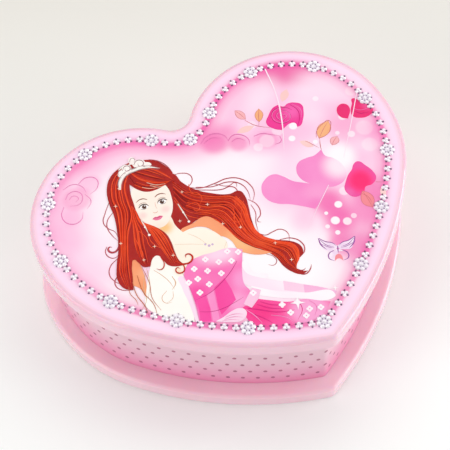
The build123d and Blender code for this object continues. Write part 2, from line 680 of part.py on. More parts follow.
def worm_wheel():
    outline = gear(WORM_TEETH, WORM_WHEEL_R, WORM_WHEEL_R + 0.5, WORM_WHEEL_R - 0.8, 0.38, 0.11)
    body = upright(outline, TRAIN_X, WORM_WHEEL_Y, DRUM_Z, WORM_WHEEL_T)
    keep("worm_wheel", body - rod_y(WORM_WHEEL_Y + 1, WORM_WHEEL_Y - 3, TRAIN_X, DRUM_Z, SHAFT_R))


def governor_worm():
    """Upright shaft with a one-start worm: a round section set off centre, twisted once for each lead."""
    low, high = DRUM_Z - 1.75 * WORM_LEAD, DRUM_Z + 1.75 * WORM_LEAD
    turn = 360 * (high - low) / WORM_LEAD
    start = 180 - turn / 2
    throw = unit(start) * WORM_THROW
    section = Pos(throw.X, throw.Y) * Circle(WORM_CIRCLE_R)
    worm = Solid.extrude_linear_with_rotation(section.face(), (0, 0, 0), (0, 0, high - low), turn)
    body = Pos(GOVERNOR_X, GOVERNOR_Y, low) * worm
    body += post(GOVERNOR_X, GOVERNOR_Y, 0.5, BED_TOP - 1.0, BRIDGE_Z + 0.8)
    keep("governor_worm", body)


def governor_fan():
    """Air brake on the worm's shaft: a hub, two thin vanes and the disc that the stop plunger presses on."""
    body = post(GOVERNOR_X, GOVERNOR_Y, 1.3, FAN_Z, BRAKE_TOP)
    left, right = GOVERNOR_X - BRAKE_R, GOVERNOR_X + BRAKE_R
    body += bar(left, right, GOVERNOR_Y - 0.2, GOVERNOR_Y + 0.2, FAN_Z, FAN_TOP)
    body += post(GOVERNOR_X, GOVERNOR_Y, BRAKE_R, FAN_TOP, BRAKE_TOP)
    keep("governor_fan", body - post(GOVERNOR_X, GOVERNOR_Y, 0.5, FAN_Z, BRAKE_TOP))


def governor_bridge():
    """Bent strip that stands on the bedplate and carries the governor's upper pivot."""
    left = BED_LEFT + 0.6
    body = bar(left, left + 1.0, GOVERNOR_Y - 2.0, GOVERNOR_Y + 2.0, BED_TOP, BRIDGE_Z + 1.0)
    body += bar(left, GOVERNOR_X + 1.2, GOVERNOR_Y - 2.0, GOVERNOR_Y + 2.0, BRIDGE_Z, BRIDGE_Z + 1.0)
    body += bar(left, left + 3.0, GOVERNOR_Y + 2.0, GOVERNOR_Y + 7.0, BED_TOP, BED_TOP + 1.0)
    body += bar(left, left + 1.0, GOVERNOR_Y - 2.0, GOVERNOR_Y + 7.0, BED_TOP, BED_TOP + 1.0)
    keep("governor_bridge", body - post(GOVERNOR_X, GOVERNOR_Y, 0.5 + RUNNING, BRIDGE_Z, BRIDGE_Z + 1.0))


def movement_screws():
    length = BED_TOP - BASE_H - 0.2
    screws = [screw(x, y, BASE_H - 1.2, length, 1.05, 2.1) for x, y in BED_LUGS]
    keep("movement_screws", Compound(screws))


# ---------------------------------------------------------------- stop plunger
GUIDE_T = 1.0


def stop_guide():
    """A bracket on the bedplate with a hole that the plunger slides in and a seat for its spring."""
    x, y = PLUNGER_X, GOVERNOR_Y
    far = BED_FRONT + 0.4
    body = bar(x + 2.4, x + 6.4, far, far + 1.2, BED_TOP, SPRING_SEAT)
    body += bar(x - 2.2, x + 6.4, far, y + 2.2, SPRING_SEAT - GUIDE_T, SPRING_SEAT)
    keep("stop_guide", body - post(x, y, PLUNGER_R + RUNNING, SPRING_SEAT - GUIDE_T, SPRING_SEAT))


def stop_plunger():
    x, y = PLUNGER_X, GOVERNOR_Y
    body = post(x, y, PLUNGER_R, BRAKE_TOP + 0.15, LID_BOTTOM + LINER_T - 0.15)
    body += post(x, y, 2.0, COLLAR_Z, COLLAR_Z + 0.8)
    body = fillet(body.faces().sort_by(Axis.Z)[-1].edges(), 0.5)
    keep("stop_plunger", body)


def stop_spring():
    """Coil spring under the plunger's collar: it lifts the plunger as the lid opens."""
    wire, coil_r, turns = 0.2, 1.6, 5
    height = COLLAR_Z - SPRING_SEAT - 2 * wire
    path = Helix(pitch=height / turns, height=height, radius=coil_r)
    start = Plane(path @ 0, z_dir=path % 0)
    coil = sweep(start * Circle(wire), path)
    keep("stop_spring", Pos(PLUNGER_X, GOVERNOR_Y, SPRING_SEAT + wire) * coil)


BUILDERS = (
    base_plinth, bottom_cover, cover_screws, box_shell, side_wrap, hinge_pins,
    lid_shell, lid_picture, lid_liner, lid_mirror,
    jewel_tray, ring_rolls, stage_mirror, turntable, fold_pin, dancer,
    winding_key, winding_arbor, click_spring, barrel, barrel_cap, mainspring,
    bedplate, bearings, cylinder_drum, cylinder_shaft, drive_pinion, cylinder_wheel,
    comb, comb_screws, train_shaft, train_pinion, worm_wheel, governor_worm, governor_fan, governor_bridge,
    movement_screws, stop_guide, stop_plunger, stop_spring,
)


def main():
    os.makedirs("parts", exist_ok=True)
    for build in BUILDERS:
        build()
    for name, shape in NODES.items():
        export_step(shape, f"parts/{name}.step")


main()
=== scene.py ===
import math
import random

import bmesh
import bpy
from mathutils import Matrix, Vector


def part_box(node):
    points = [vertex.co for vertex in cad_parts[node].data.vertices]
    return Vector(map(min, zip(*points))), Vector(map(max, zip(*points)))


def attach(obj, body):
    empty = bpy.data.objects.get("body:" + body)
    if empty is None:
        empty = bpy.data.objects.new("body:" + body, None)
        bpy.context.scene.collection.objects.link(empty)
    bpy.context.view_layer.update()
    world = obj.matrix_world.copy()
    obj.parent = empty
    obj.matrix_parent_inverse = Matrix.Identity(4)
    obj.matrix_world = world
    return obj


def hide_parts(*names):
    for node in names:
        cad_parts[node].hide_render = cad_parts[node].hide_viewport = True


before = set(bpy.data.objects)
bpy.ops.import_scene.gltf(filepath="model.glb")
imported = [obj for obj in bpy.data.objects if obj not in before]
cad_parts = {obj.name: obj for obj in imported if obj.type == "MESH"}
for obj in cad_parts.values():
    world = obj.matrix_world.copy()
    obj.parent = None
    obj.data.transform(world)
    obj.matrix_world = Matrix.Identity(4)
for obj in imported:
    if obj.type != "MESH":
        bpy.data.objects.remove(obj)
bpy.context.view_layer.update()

MM = 0.001

# ------------------------------------------------------------------ sizes, in millimetres, as in the part
WALL_WIDTH = 158.0
LOBE_R = 40.0
SHOULDER_R = 59.5
SIDE_R = 154.5
CLEFT_R = 14.0
LOBE_END = math.radians(5.0)
SHOULDER_END = math.radians(-38.5)
chance = random.Random(7)
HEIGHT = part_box("lid_shell")[1].z / MM
LID_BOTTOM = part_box("lid_shell")[0].z / MM
WRAP_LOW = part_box("side_wrap")[0].z / MM
WRAP_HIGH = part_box("side_wrap")[1].z / MM
LID_STEP = 5.8
PICTURE_INSET = 1.9
PICTURE_T = 0.8
WRAP_T = 0.3
WRAP_TIP_R = 3.3            # how round the heart's point is on the paper, and on the picture
PICTURE_TIP_R = 2.6
LAYER = 0.015               # one layer of printed ink on the lid
PICTURE_TURN = math.radians(-28.7)   # the drawing stands this much turned from the heart's own axis


# ------------------------------------------------------------------ heart outline
def unit(angle):
    return Vector((math.cos(angle), math.sin(angle)))


LOBE_C = Vector((WALL_WIDTH / 2 - SHOULDER_R + (SHOULDER_R - LOBE_R) * math.cos(LOBE_END), 0))
SHOULDER_C = LOBE_C + unit(LOBE_END) * (LOBE_R - SHOULDER_R)
SIDE_C = SHOULDER_C + unit(SHOULDER_END) * (SHOULDER_R - SIDE_R)
HEART_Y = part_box("box_shell")[0].y / MM + math.sqrt((SIDE_R - 3.0) ** 2 - SIDE_C.x ** 2) - SIDE_C.y + 3.0


def heart_arcs(step, tip_r):
    """Centre, radius, first and last angle of each arc of the right half, from tip to cleft."""
    reach = SIDE_R + step - tip_r
    tip = Vector((0, SIDE_C.y - math.sqrt(reach ** 2 - SIDE_C.x ** 2)))
    tip_end = math.atan2(tip.y - SIDE_C.y, tip.x - SIDE_C.x)
    cleft_r = CLEFT_R - step
    cleft = Vector((0, math.sqrt((LOBE_R + step + cleft_r) ** 2 - LOBE_C.x ** 2)))
    lobe_end = math.atan2(cleft.y, -LOBE_C.x)
    return [
        (tip, tip_r, -math.pi / 2, tip_end),
        (SIDE_C, SIDE_R + step, tip_end, SHOULDER_END),
        (SHOULDER_C, SHOULDER_R + step, SHOULDER_END, LOBE_END),
        (LOBE_C, LOBE_R + step, LOBE_END, lobe_end),
        (cleft, cleft_r, lobe_end - math.pi, -math.pi / 2),
    ]


ARC_PARTS = (6, 34, 16, 40, 12)


def heart_ring(step, tip_r):
    """Points round the whole outline, always the same number of them, starting at the tip."""
    right = []
    for (centre, radius, first, last), parts in zip(heart_arcs(step, tip_r), ARC_PARTS):
        for number in range(parts):
            right.append(centre + unit(first + (last - first) * number / parts) * radius)
    cleft, cleft_r = heart_arcs(step, tip_r)[4][:2]
    right.append(cleft - Vector((0, cleft_r)))
    left = [Vector((-point.x, point.y)) for point in reversed(right[1:-1])]
    return [point + Vector((0, HEART_Y)) for point in right + left]


def along_heart(step, tip_r, share):
    """Point and outward direction at a share of the half outline, from the cleft (0) to the tip (1)."""
    arcs = heart_arcs(step, tip_r)
    lengths = [radius * abs(last - first) for _, radius, first, last in arcs]
    left_to_go = sum(lengths) * (1 - share)
    for number, (centre, radius, first, last) in enumerate(arcs):
        if left_to_go <= lengths[number] or number == 4:
            angle = first + (last - first) * left_to_go / lengths[number]
            inward = -1 if number == 4 else 1
            return centre + unit(angle) * radius + Vector((0, HEART_Y)), unit(angle) * inward
        left_to_go -= lengths[number]


def half_length(step, tip_r):
    return sum(radius * abs(last - first) for _, radius, first, last in heart_arcs(step, tip_r))


# ------------------------------------------------------------------ materials
def ink(red, green, blue):
    """A colour given as it looks, 0 to 255, turned into scene light."""
    values = []
    for value in (red, green, blue):
        share = value / 255
        values.append(share / 12.92 if share <= 0.04045 else ((share + 0.055) / 1.055) ** 2.4)
    return (*values, 1.0)


def shader_of(name, colour, roughness, **sockets):
    material = bpy.data.materials.new(name)
    material.use_nodes = True
    shader = material.node_tree.nodes["Principled BSDF"]
    shader.inputs["Base Color"].default_value = colour
    shader.inputs["Roughness"].default_value = roughness
    for socket, value in sockets.items():
        shader.inputs[socket.replace("_", " ")].default_value = value
    return material, material.node_tree, shader


def node(tree, kind, **inputs):
    new = tree.nodes.new(kind)
    for socket, value in inputs.items():
        new.inputs[socket.replace("_", " ")].default_value = value
    return new


def object_place(tree):
    return tree.nodes.new("ShaderNodeTexCoord").outputs["Object"]


def noise(tree, place, scale, detail=3.0, roughness=0.5):
    new = node(tree, "ShaderNodeTexNoise", Scale=scale, Detail=detail, Roughness=roughness)
    tree.links.new(place, new.inputs["Vector"])
    return new.outputs["Fac"]


def ramp(tree, factor, stops):
    """A colour ramp from (position, colour) pairs."""
    new = tree.nodes.new("ShaderNodeValToRGB")
    elements = new.color_ramp.elements
    elements[0].position, elements[0].color = stops[0]
    elements[1].position, elements[1].color = stops[-1]
    for position, colour in stops[1:-1]:
        element = elements.new(position)
        element.color = colour
    tree.links.new(factor, new.inputs["Fac"])
    return new.outputs["Color"]


def rescaled(tree, value, low, high, to_low=0.0, to_high=1.0):
    """A value from one range carried over to another, and held at its ends."""
    new = tree.nodes.new("ShaderNodeMapRange")
    for socket, bound in (("From Min", low), ("From Max", high), ("To Min", to_low), ("To Max", to_high)):
        new.inputs[socket].default_value = bound
    tree.links.new(value, new.inputs["Value"])
    return new.outputs["Result"]


def times(tree, first, second):
    """Two values multiplied; the second may be a plain number."""
    new = tree.nodes.new("ShaderNodeMath")
    new.operation = "MULTIPLY"
    tree.links.new(first, new.inputs[0])
    if isinstance(second, float):
        new.inputs[1].default_value = second
    else:
        tree.links.new(second, new.inputs[1])
    return new.outputs["Value"]


def bump(tree, shader, height, strength, distance):
    new = node(tree, "ShaderNodeBump", Strength=strength, Distance=distance)
    tree.links.new(height, new.inputs["Height"])
    tree.links.new(new.outputs["Normal"], shader.inputs["Normal"])


def mottled(name, dark, light, scale, roughness, bump_mm=0.0, bump_scale=None, **sockets):
    """A finish whose colour drifts between two tones, with a fine surface grain."""
    material, tree, shader = shader_of(name, light, roughness, **sockets)
    place = object_place(tree)
    colour = ramp(tree, noise(tree, place, scale), [(0.35, dark), (0.65, light)])
    tree.links.new(colour, shader.inputs["Base Color"])
    if bump_mm:
        grain = noise(tree, place, bump_scale or scale * 20, detail=4.0)
        bump(tree, shader, grain, 1.0, bump_mm * MM)
    return material


def paint_node(name, material):
    """Gives a CAD node its finish."""
    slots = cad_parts[name].material_slots
    for entry in slots:
        entry.material = material


PINK_RIM = mottled("pink_rim", ink(248, 194, 214), ink(251, 203, 221), 30, 0.16, 0.002, 900,
                   Coat_Weight=0.6, Coat_Roughness=0.06, Subsurface_Weight=0.25, Subsurface_Scale=0.004)
PINK_BASE = mottled("pink_base", ink(253, 203, 219), ink(255, 211, 225), 26, 0.2, 0.002, 900,
                    Coat_Weight=0.5, Coat_Roughness=0.08, Subsurface_Weight=0.25, Subsurface_Scale=0.004)


# ------------------------------------------------------------------ mesh helpers
def nothing_selected():
    bpy.ops.object.select_all(action="DESELECT")


def only(piece):
    nothing_selected()
    piece.select_set(True)
    bpy.context.view_layer.objects.active = piece


def new_piece(name, mesh, material, body):
    piece = bpy.data.objects.new(name, mesh)
    bpy.context.scene.collection.objects.link(piece)
    mesh.materials.clear()
    mesh.materials.append(material)
    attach(piece, body)
    return piece


def copies(name, masters, places, material, body):
    """One piece of many copies of a small shape, each with its own vertices."""
    whole = bmesh.new()
    for place in places:
        for master in masters:
            mesh = master.copy()
            mesh.transform(place)
            whole.from_mesh(mesh)
            bpy.data.meshes.remove(mesh)
    mesh = bpy.data.meshes.new(name)
    whole.to_mesh(mesh)
    whole.free()
    return new_piece(name, mesh, material, body)


# ------------------------------------------------------------------ printed ink on the lid
ON_LID = Matrix.Rotation(PICTURE_TURN, 4, "Z")


def lay_on_lid(piece, layer, thickness):
    """Turns a flat drawing onto the lid's top, as ink of its own layer."""
    flat = Matrix.Diagonal((MM, MM, thickness, 1.0))
    lift = Matrix.Translation((0, 0, (HEIGHT + layer * LAYER) * MM))
    piece.data.transform(lift @ ON_LID @ flat)


def as_mesh(name, curve):
    """The curve made into a mesh object, with nothing of the curve left."""
    piece = bpy.data.objects.new(name, curve)
    bpy.context.scene.collection.objects.link(piece)
    only(piece)
    bpy.ops.object.convert(target="MESH")
    return bpy.context.view_layer.objects.active


def add_spline(curve, points, closed, width=None):
    """A smooth line through points; a third value of 0 on a point makes it a sharp corner."""
    spline = curve.splines.new("BEZIER")
    spline.bezier_points.add(len(points) - 1)
    last = len(points) - 1
    for number, (knot, point) in enumerate(zip(spline.bezier_points, points)):
        knot.co = (point[0], point[1], 0)
        kind = "VECTOR" if len(point) > 2 else "AUTO"
        knot.handle_left_type = knot.handle_right_type = kind
        if width is not None:
            share = number / last
            knot.radius = width / 2 * (0.12 + 0.88 * math.sin(math.pi * min(1.0, 0.12 + 0.88 * share)) ** 0.6)
            if number == last:
                knot.radius = 0.04
    spline.use_cyclic_u = closed


def ink_shape(name, outlines, layer, material, resolution=10):
    """Flat printed areas inside closed smooth outlines. Areas that cross have different layers."""
    curve = bpy.data.curves.new(name, "CURVE")
    curve.dimensions = "2D"
    curve.fill_mode = "BOTH"
    curve.extrude = 0.5
    curve.resolution_u = resolution
    for outline in outlines:
        add_spline(curve, outline, True)
    piece = as_mesh(name, curve)
    piece.data.materials.clear()
    piece.data.materials.append(material)
    lay_on_lid(piece, layer, LAYER * MM)
    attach(piece, "lid")
    return piece


def ink_lines(name, lines, layer, material, resolution=8):
    """Brush strokes, each (width, points), that swell and run out to a point."""
    curve = bpy.data.curves.new(name, "CURVE")
    curve.dimensions = "3D"
    curve.bevel_depth = 1.0
    curve.bevel_resolution = 0
    curve.resolution_u = resolution
    for width, points in lines:
        add_spline(curve, points, False, width)
    piece = as_mesh(name, curve)
    piece.data.materials.clear()
    piece.data.materials.append(material)
    lay_on_lid(piece, layer, LAYER * MM * 0.8)
    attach(piece, "lid")
    return piece


def round_outline(x, y, rx, ry=None, turn=0.0, points=8):
    ry = rx if ry is None else ry
    outline = []
    for number in range(points):
        angle = 2 * math.pi * number / points
        px, py = rx * math.cos(angle), ry * math.sin(angle)
        cos, sin = math.cos(math.radians(turn)), math.sin(math.radians(turn))
        outline.append((x + px * cos - py * sin, y + px * sin + py * cos))
    return outline


def moved(points, x, y, size=1.0, turn=0.0):
    cos, sin = math.cos(math.radians(turn)), math.sin(math.radians(turn))
    out = []
    for point in points:
        px, py = point[0] * size, point[1] * size
        out.append((x + px * cos - py * sin, y + px * sin + py * cos, *point[2:]))
    return out


# ------------------------------------------------------------------ the lid's printed sheet
def blob_mask(tree, place, x, y, radius, soft, stretch=1.0, turn=0.0):
    """1 inside a round spot of the drawing, falling to 0 over its soft edge."""
    mapping = node(tree, "ShaderNodeMapping")
    mapping.vector_type = "TEXTURE"
    mapping.inputs["Location"].default_value = (x * MM, y * MM, HEIGHT * MM)
    mapping.inputs["Rotation"].default_value = (0, 0, math.radians(turn))
    mapping.inputs["Scale"].default_value = (radius * MM * stretch, radius * MM, 1.0)
    tree.links.new(place, mapping.inputs["Vector"])
    length = tree.nodes.new("ShaderNodeVectorMath")
    length.operation = "LENGTH"
    tree.links.new(mapping.outputs["Vector"], length.inputs[0])
    mask = rescaled(tree, length.outputs["Value"], 1.0, 1.0 - soft)
    mask.node.interpolation_type = "SMOOTHERSTEP"
    return mask


def over(tree, below, colour, mask, strength):
    """Lays a colour over another through a mask."""
    mix = tree.nodes.new("ShaderNodeMix")
    mix.data_type = "RGBA"
    rgba = [socket for socket in mix.inputs if socket.type == "RGBA"]
    rgba[1].default_value = colour
    tree.links.new(below, rgba[0])
    tree.links.new(times(tree, mask, strength), mix.inputs["Factor"])
    return [socket for socket in mix.outputs if socket.type == "RGBA"][0]


def picture_place(tree):
    """Coordinates turned with the drawing."""
    place = tree.nodes.new("ShaderNodeMapping")
    place.vector_type = "TEXTURE"
    place.inputs["Rotation"].default_value = (0, 0, PICTURE_TURN)
    tree.links.new(object_place(tree), place.inputs["Vector"])
    return place.outputs["Vector"]


def washed(name, dark, light, washes=(), scale=60, roughness=0.2):
    """Printed ink under the lid's gloss: a soft drift between two tones, with soft washes laid over it."""
    material, tree, shader = shader_of(name, light, roughness, Coat_Weight=0.06, Coat_Roughness=0.05,
                                       Specular_IOR_Level=0.12)
    place = picture_place(tree)
    colour = ramp(tree, noise(tree, place, scale, 2.0), [(0.35, dark), (0.65, light)])
    for x, y, radius, soft, stretch, turn, tone, strength in washes:
        colour = over(tree, colour, tone, blob_mask(tree, place, x, y, radius, soft, stretch, turn), strength)
    tree.links.new(colour, shader.inputs["Base Color"])
    return material


WHITE_INK = ink(255, 250, 254)
PALE_INK = ink(253, 226, 244)
PINK_INK = ink(250, 170, 215)
ROSE_INK = ink(243, 110, 180)
DEEP_INK = ink(232, 66, 150)

# x, y, radius, soft edge, stretch, turn, colour, strength
CLOUDS = (
    (-68, 5, 16, 0.9, 1.3, 70, PINK_INK, 0.3),
    (-62, 30, 13, 1.0, 1.4, 30, PINK_INK, 0.4),
    (-28, 36, 16, 0.9, 1.8, 0, PINK_INK, 0.85),
    (-8, 38, 12, 0.8, 1.2, 40, ROSE_INK, 0.6),
    (6, 34, 10, 1.0, 1.5, 0, PINK_INK, 0.75),
    (10, 62, 20, 1.0, 1.5, 50, PINK_INK, 0.5),
    (22, 74, 14, 0.9, 2.0, 0, DEEP_INK, 0.85),
    (40, 66, 16, 1.0, 1.5, -30, PALE_INK, 0.8),
    (10, 60, 12, 1.0, 1.8, 60, PALE_INK, 0.9),
    (46, 42, 16, 1.0, 1.0, 0, ROSE_INK, 0.45),
    (18, 38, 15, 1.0, 1.6, 10, PINK_INK, 0.6),
    (-35, 5, 42, 0.7, 1.2, 0, WHITE_INK, 0.85),
    (5, -18, 34, 0.8, 1.5, -15, WHITE_INK, 0.95),
    (-2, 22, 22, 0.9, 1.3, 0, WHITE_INK, 0.7),
    (-46, -38, 16, 0.9, 1.6, -30, WHITE_INK, 0.8),
    (26, -32, 18, 0.9, 1.6, -20, WHITE_INK, 0.9),
    (43, 25.5, 11, 0.8, 1.0, 0, WHITE_INK, 0.95),
    (30, 52, 12, 0.9, 1.0, 0, PALE_INK, 0.6),
    (50, -2, 16, 1.0, 0.8, -20, ink(246, 146, 198), 0.9),
    (36, 3, 12, 0.9, 0.9, 10, ROSE_INK, 0.9),
    (40, -6, 14, 0.9, 0.75, 0, ROSE_INK, 0.95),
    (39, -17, 9, 0.9, 0.9, 0, ROSE_INK, 0.75),
    (-11, 36, 7.5, 0.75, 1.2, 0, ROSE_INK, 0.6),
    (-0.5, 35.5, 6, 0.7, 1.0, 0, ROSE_INK, 0.55),
    (12, 36.5, 6, 0.6, 1.2, 0, ROSE_INK, 0.3),
    (-71, 12, 7.5, 0.5, 1.1, 20, ink(247, 150, 198), 0.5),
    (-66, 19, 6, 0.6, 1.3, 30, PINK_INK, 0.45),
    (-73, 3, 6, 0.7, 1.2, 70, PINK_INK, 0.35),
    (54, 8, 12, 0.9, 1.0, 0, ROSE_INK, 0.7),
    (46, -19, 13, 0.9, 1.0, 0, ink(240, 128, 188), 0.75),
    (58, 38, 10, 1.0, 1.0, 0, PINK_INK, 0.7),
    (24, -6, 9, 1.0, 1.0, 0, PINK_INK, 0.35),
)

# soft discs of light: x, y, radius, strength
LIGHT_SPOTS = (
    (24, 43, 2.2, 0.9), (23, 36.5, 1.8, 0.9), (12, 36, 4.0, 0.35), (17, 41, 3.0, 0.35), (8, 33, 2.5, 0.4),
    (40, 1.5, 2.0, 0.95), (38, -6.3, 2.3, 0.95), (43, -7, 2.2, 0.8), (34.5, -2.5, 1.0, 0.9),
    (34.5, -9, 1.2, 0.8), (38.5, -12.2, 1.3, 0.9), (46, -4.5, 1.5, 0.6), (43, 8, 2.5, 0.5),
    (55, 40, 4.6, 0.3), (56.5, 31, 4.2, 0.3), (46, 46.5, 2.2, 0.6), (53, 53, 2.2, 0.9),
    (49, 37, 2.0, 0.6), (33, 34, 1.3, 0.8), (29, 10, 3.0, 0.35), (18, 14.5, 3.2, 0.4),
    (16, 7, 1.6, 0.7), (51, 60, 3.0, 0.5), (6, 45, 2.4, 0.3), (35, 57, 1.6, 0.5), (43, 38, 1.2, 0.6),
)


BORDER_INK = ink(242, 82, 168)
LEFT_BAND = 0.35            # how strong the border's pink still is at the left lobe


def lid_print_material():
    """The sheet's ground: drifting pinks, clouds, spots of light and the pink border."""
    material, tree, shader = shader_of("lid_print", PALE_INK, 0.2, Coat_Weight=0.06, Coat_Roughness=0.05,
                                       Specular_IOR_Level=0.12)
    place = picture_place(tree)
    uv = tree.nodes.new("ShaderNodeUVMap")
    uv.uv_map = "print"
    split = tree.nodes.new("ShaderNodeSeparateXYZ")
    tree.links.new(uv.outputs["UV"], split.inputs["Vector"])
    inset = split.outputs["Y"]
    wander = noise(tree, place, 45, 1.0)
    colour = ramp(tree, wander, [(0.3, PALE_INK), (0.5, ink(253, 214, 238)), (0.7, ink(251, 196, 228))])
    for x, y, radius, soft, stretch, turn, tone, strength in CLOUDS:
        colour = over(tree, colour, tone, blob_mask(tree, place, x, y, radius, soft, stretch, turn), strength)
    for x, y, radius, strength in LIGHT_SPOTS:
        colour = over(tree, colour, WHITE_INK, blob_mask(tree, place, x, y, radius, 0.35), strength)
    # the border: a pale rim, then a band of strong pink that fades inwards and is weaker at the left lobe
    band = ramp(tree, inset, [
        (0.00, ink(0, 0, 0)), (0.12, ink(0, 0, 0)), (0.19, ink(120, 120, 120)), (0.24, ink(250, 250, 250)),
        (0.30, ink(250, 250, 250)), (0.40, ink(176, 176, 176)), (0.54, ink(96, 96, 96)),
        (0.90, ink(0, 0, 0))])
    drift = rescaled(tree, noise(tree, place, 28, 1.0), 0.3, 0.7, 0.65, 1.0)
    left_lobe = blob_mask(tree, place, -88, -6, 70, 1.0)
    strength = times(tree, times(tree, band, drift), rescaled(tree, left_lobe, 0.0, 1.0, 1.0, LEFT_BAND))
    colour = over(tree, colour, BORDER_INK, strength, 1.0)
    rim = ramp(tree, inset, [(0.0, ink(255, 255, 255)), (0.12, ink(235, 235, 235)), (0.24, ink(0, 0, 0))])
    colour = over(tree, colour, ink(253, 220, 245), rim, 1.0)
    edge = ramp(tree, inset, [(0.0, ink(255, 255, 255)), (0.07, ink(0, 0, 0))])
    colour = over(tree, colour, ink(252, 206, 224), edge, 0.9)
    tree.links.new(colour, shader.inputs["Base Color"])
    return material


PRINT_REACH = 24.0          # the picture's border fades out this far in from its edge
PRINT_RINGS = (0.0, 0.3, 1.0, 2.0, 3.5, 5.0, 6.5, 8.0, 10.0, 12.5, 15.5, 19.0, 24.0)


def build_lid_print():
    """The printed sheet, with the distance from its edge kept in its own map."""
    mesh = bpy.data.meshes.new("lid_print")
    top = HEIGHT
    vertices, faces, inset = [], [], []
    edge_step = LID_STEP - PICTURE_INSET
    rings = [(0.0, top - PICTURE_T)] + [(ring, top) for ring in PRINT_RINGS]
    for ring, height in rings:
        for point in heart_ring(edge_step - ring, max(PICTURE_TIP_R - ring, 0.2)):
            vertices.append((point.x * MM, point.y * MM, height * MM))
            inset.append(ring / PRINT_REACH)
    count = len(vertices) // len(rings)
    for ring in range(len(rings) - 1):
        low, high = ring * count, (ring + 1) * count
        for number in range(count):
            after = (number + 1) % count
            faces.append((low + number, low + after, high + after, high + number))
    faces.append(tuple(range(len(vertices) - count, len(vertices))))
    faces.append(tuple(reversed(range(count))))
    mesh.from_pydata(vertices, [], faces)
    layer = mesh.uv_layers.new(name="print")
    for loop in mesh.loops:
        layer.data[loop.index].uv = (0.0, inset[loop.vertex_index])
    piece = new_piece("lid_print", mesh, lid_print_material(), "lid")
    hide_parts("lid_picture")
    return piece


# ------------------------------------------------------------------ the lid's drawing
def between(first, last, share):
    """The line that lies a share of the way from one guide line to another."""
    return [(a[0] + (b[0] - a[0]) * share, a[1] + (b[1] - a[1]) * share) for a, b in zip(first, last)]


def strands(first, last, count, width, start=0.0, end=1.0):
    """Locks that flow between two guide lines, each a little different from its neighbours."""
    lines = []
    for number in range(count):
        share = start + (end - start) * (number + 0.5 + chance.uniform(-0.3, 0.3)) / count
        line = between(first, last, share)
        spare = len(line) // 4
        skip = min(spare, chance.choice((0, 0, 1, 2)))
        stop = len(line) - min(spare, chance.choice((0, 0, 1, 2)))
        lines.append((width * chance.uniform(0.6, 1.3), line[skip:stop]))
    return lines


def mirrored(points):
    return [(-point[0], *point[1:]) for point in points]


def blossom(x, y, size):
    """Four round petals in one outline."""
    outline = []
    for number in range(16):
        angle = math.pi * number / 8
        reach = size * (0.72 + 0.28 * abs(math.cos(2 * angle)))
        outline.append((x + reach * math.cos(angle), y + reach * math.sin(angle)))
    return outline


def spark(x, y, size):
    """A four-pointed glint."""
    outline = []
    for number in range(8):
        reach = size if number % 2 == 0 else size * 0.24
        angle = math.pi * number / 4
        outline.append((x + reach * math.cos(angle), y + reach * math.sin(angle), 0))
    return outline


def petal_lines(x, y, size, turn, width):
    """Curled petal edges that wind in to the heart of a rose."""
    lines = []
    for number in range(6):
        reach = size * (0.86 - 0.135 * number)
        first = math.radians(turn + 137 * number)
        arc = []
        for step in range(6):
            angle = first + math.radians(34) * step
            swell = reach * (1 - 0.035 * step)
            arc.append((x + swell * math.cos(angle), y + swell * math.sin(angle) * 0.88))
        lines.append((width, arc))
    return lines


LEAVES = (
    # middle x and y, length, width, turn, ink number
    (9.4, 49.8, 3.6, 1.7, 88, 0), (1.2, 50.6, 3.4, 1.7, -48, 1), (3.0, 42.8, 4.2, 1.5, 22, 2),
    (21.4, 59.8, 3.6, 1.7, 70, 2), (37.2, 40.2, 5.2, 2.7, 62, 0), (41.4, 34.0, 2.6, 1.8, 60, 1),
    (29.2, 33.2, 3.4, 1.4, -28, 2), (52.6, 3.2, 4.6, 2.6, -68, 3), (59.6, 6.2, 2.6, 1.2, -80, 2),
)


BUTTERFLY = (37.8, -19.6, 1.14)     # middle x and y, and size


def leaf(x, y, length, width, turn):
    shape = [(-length, 0, 0), (-length * 0.5, width * 0.8), (length * 0.2, width), (length, 0, 0),
             (length * 0.3, -width), (-length * 0.5, -width * 0.75)]
    return moved(shape, x, y, 1.0, turn)


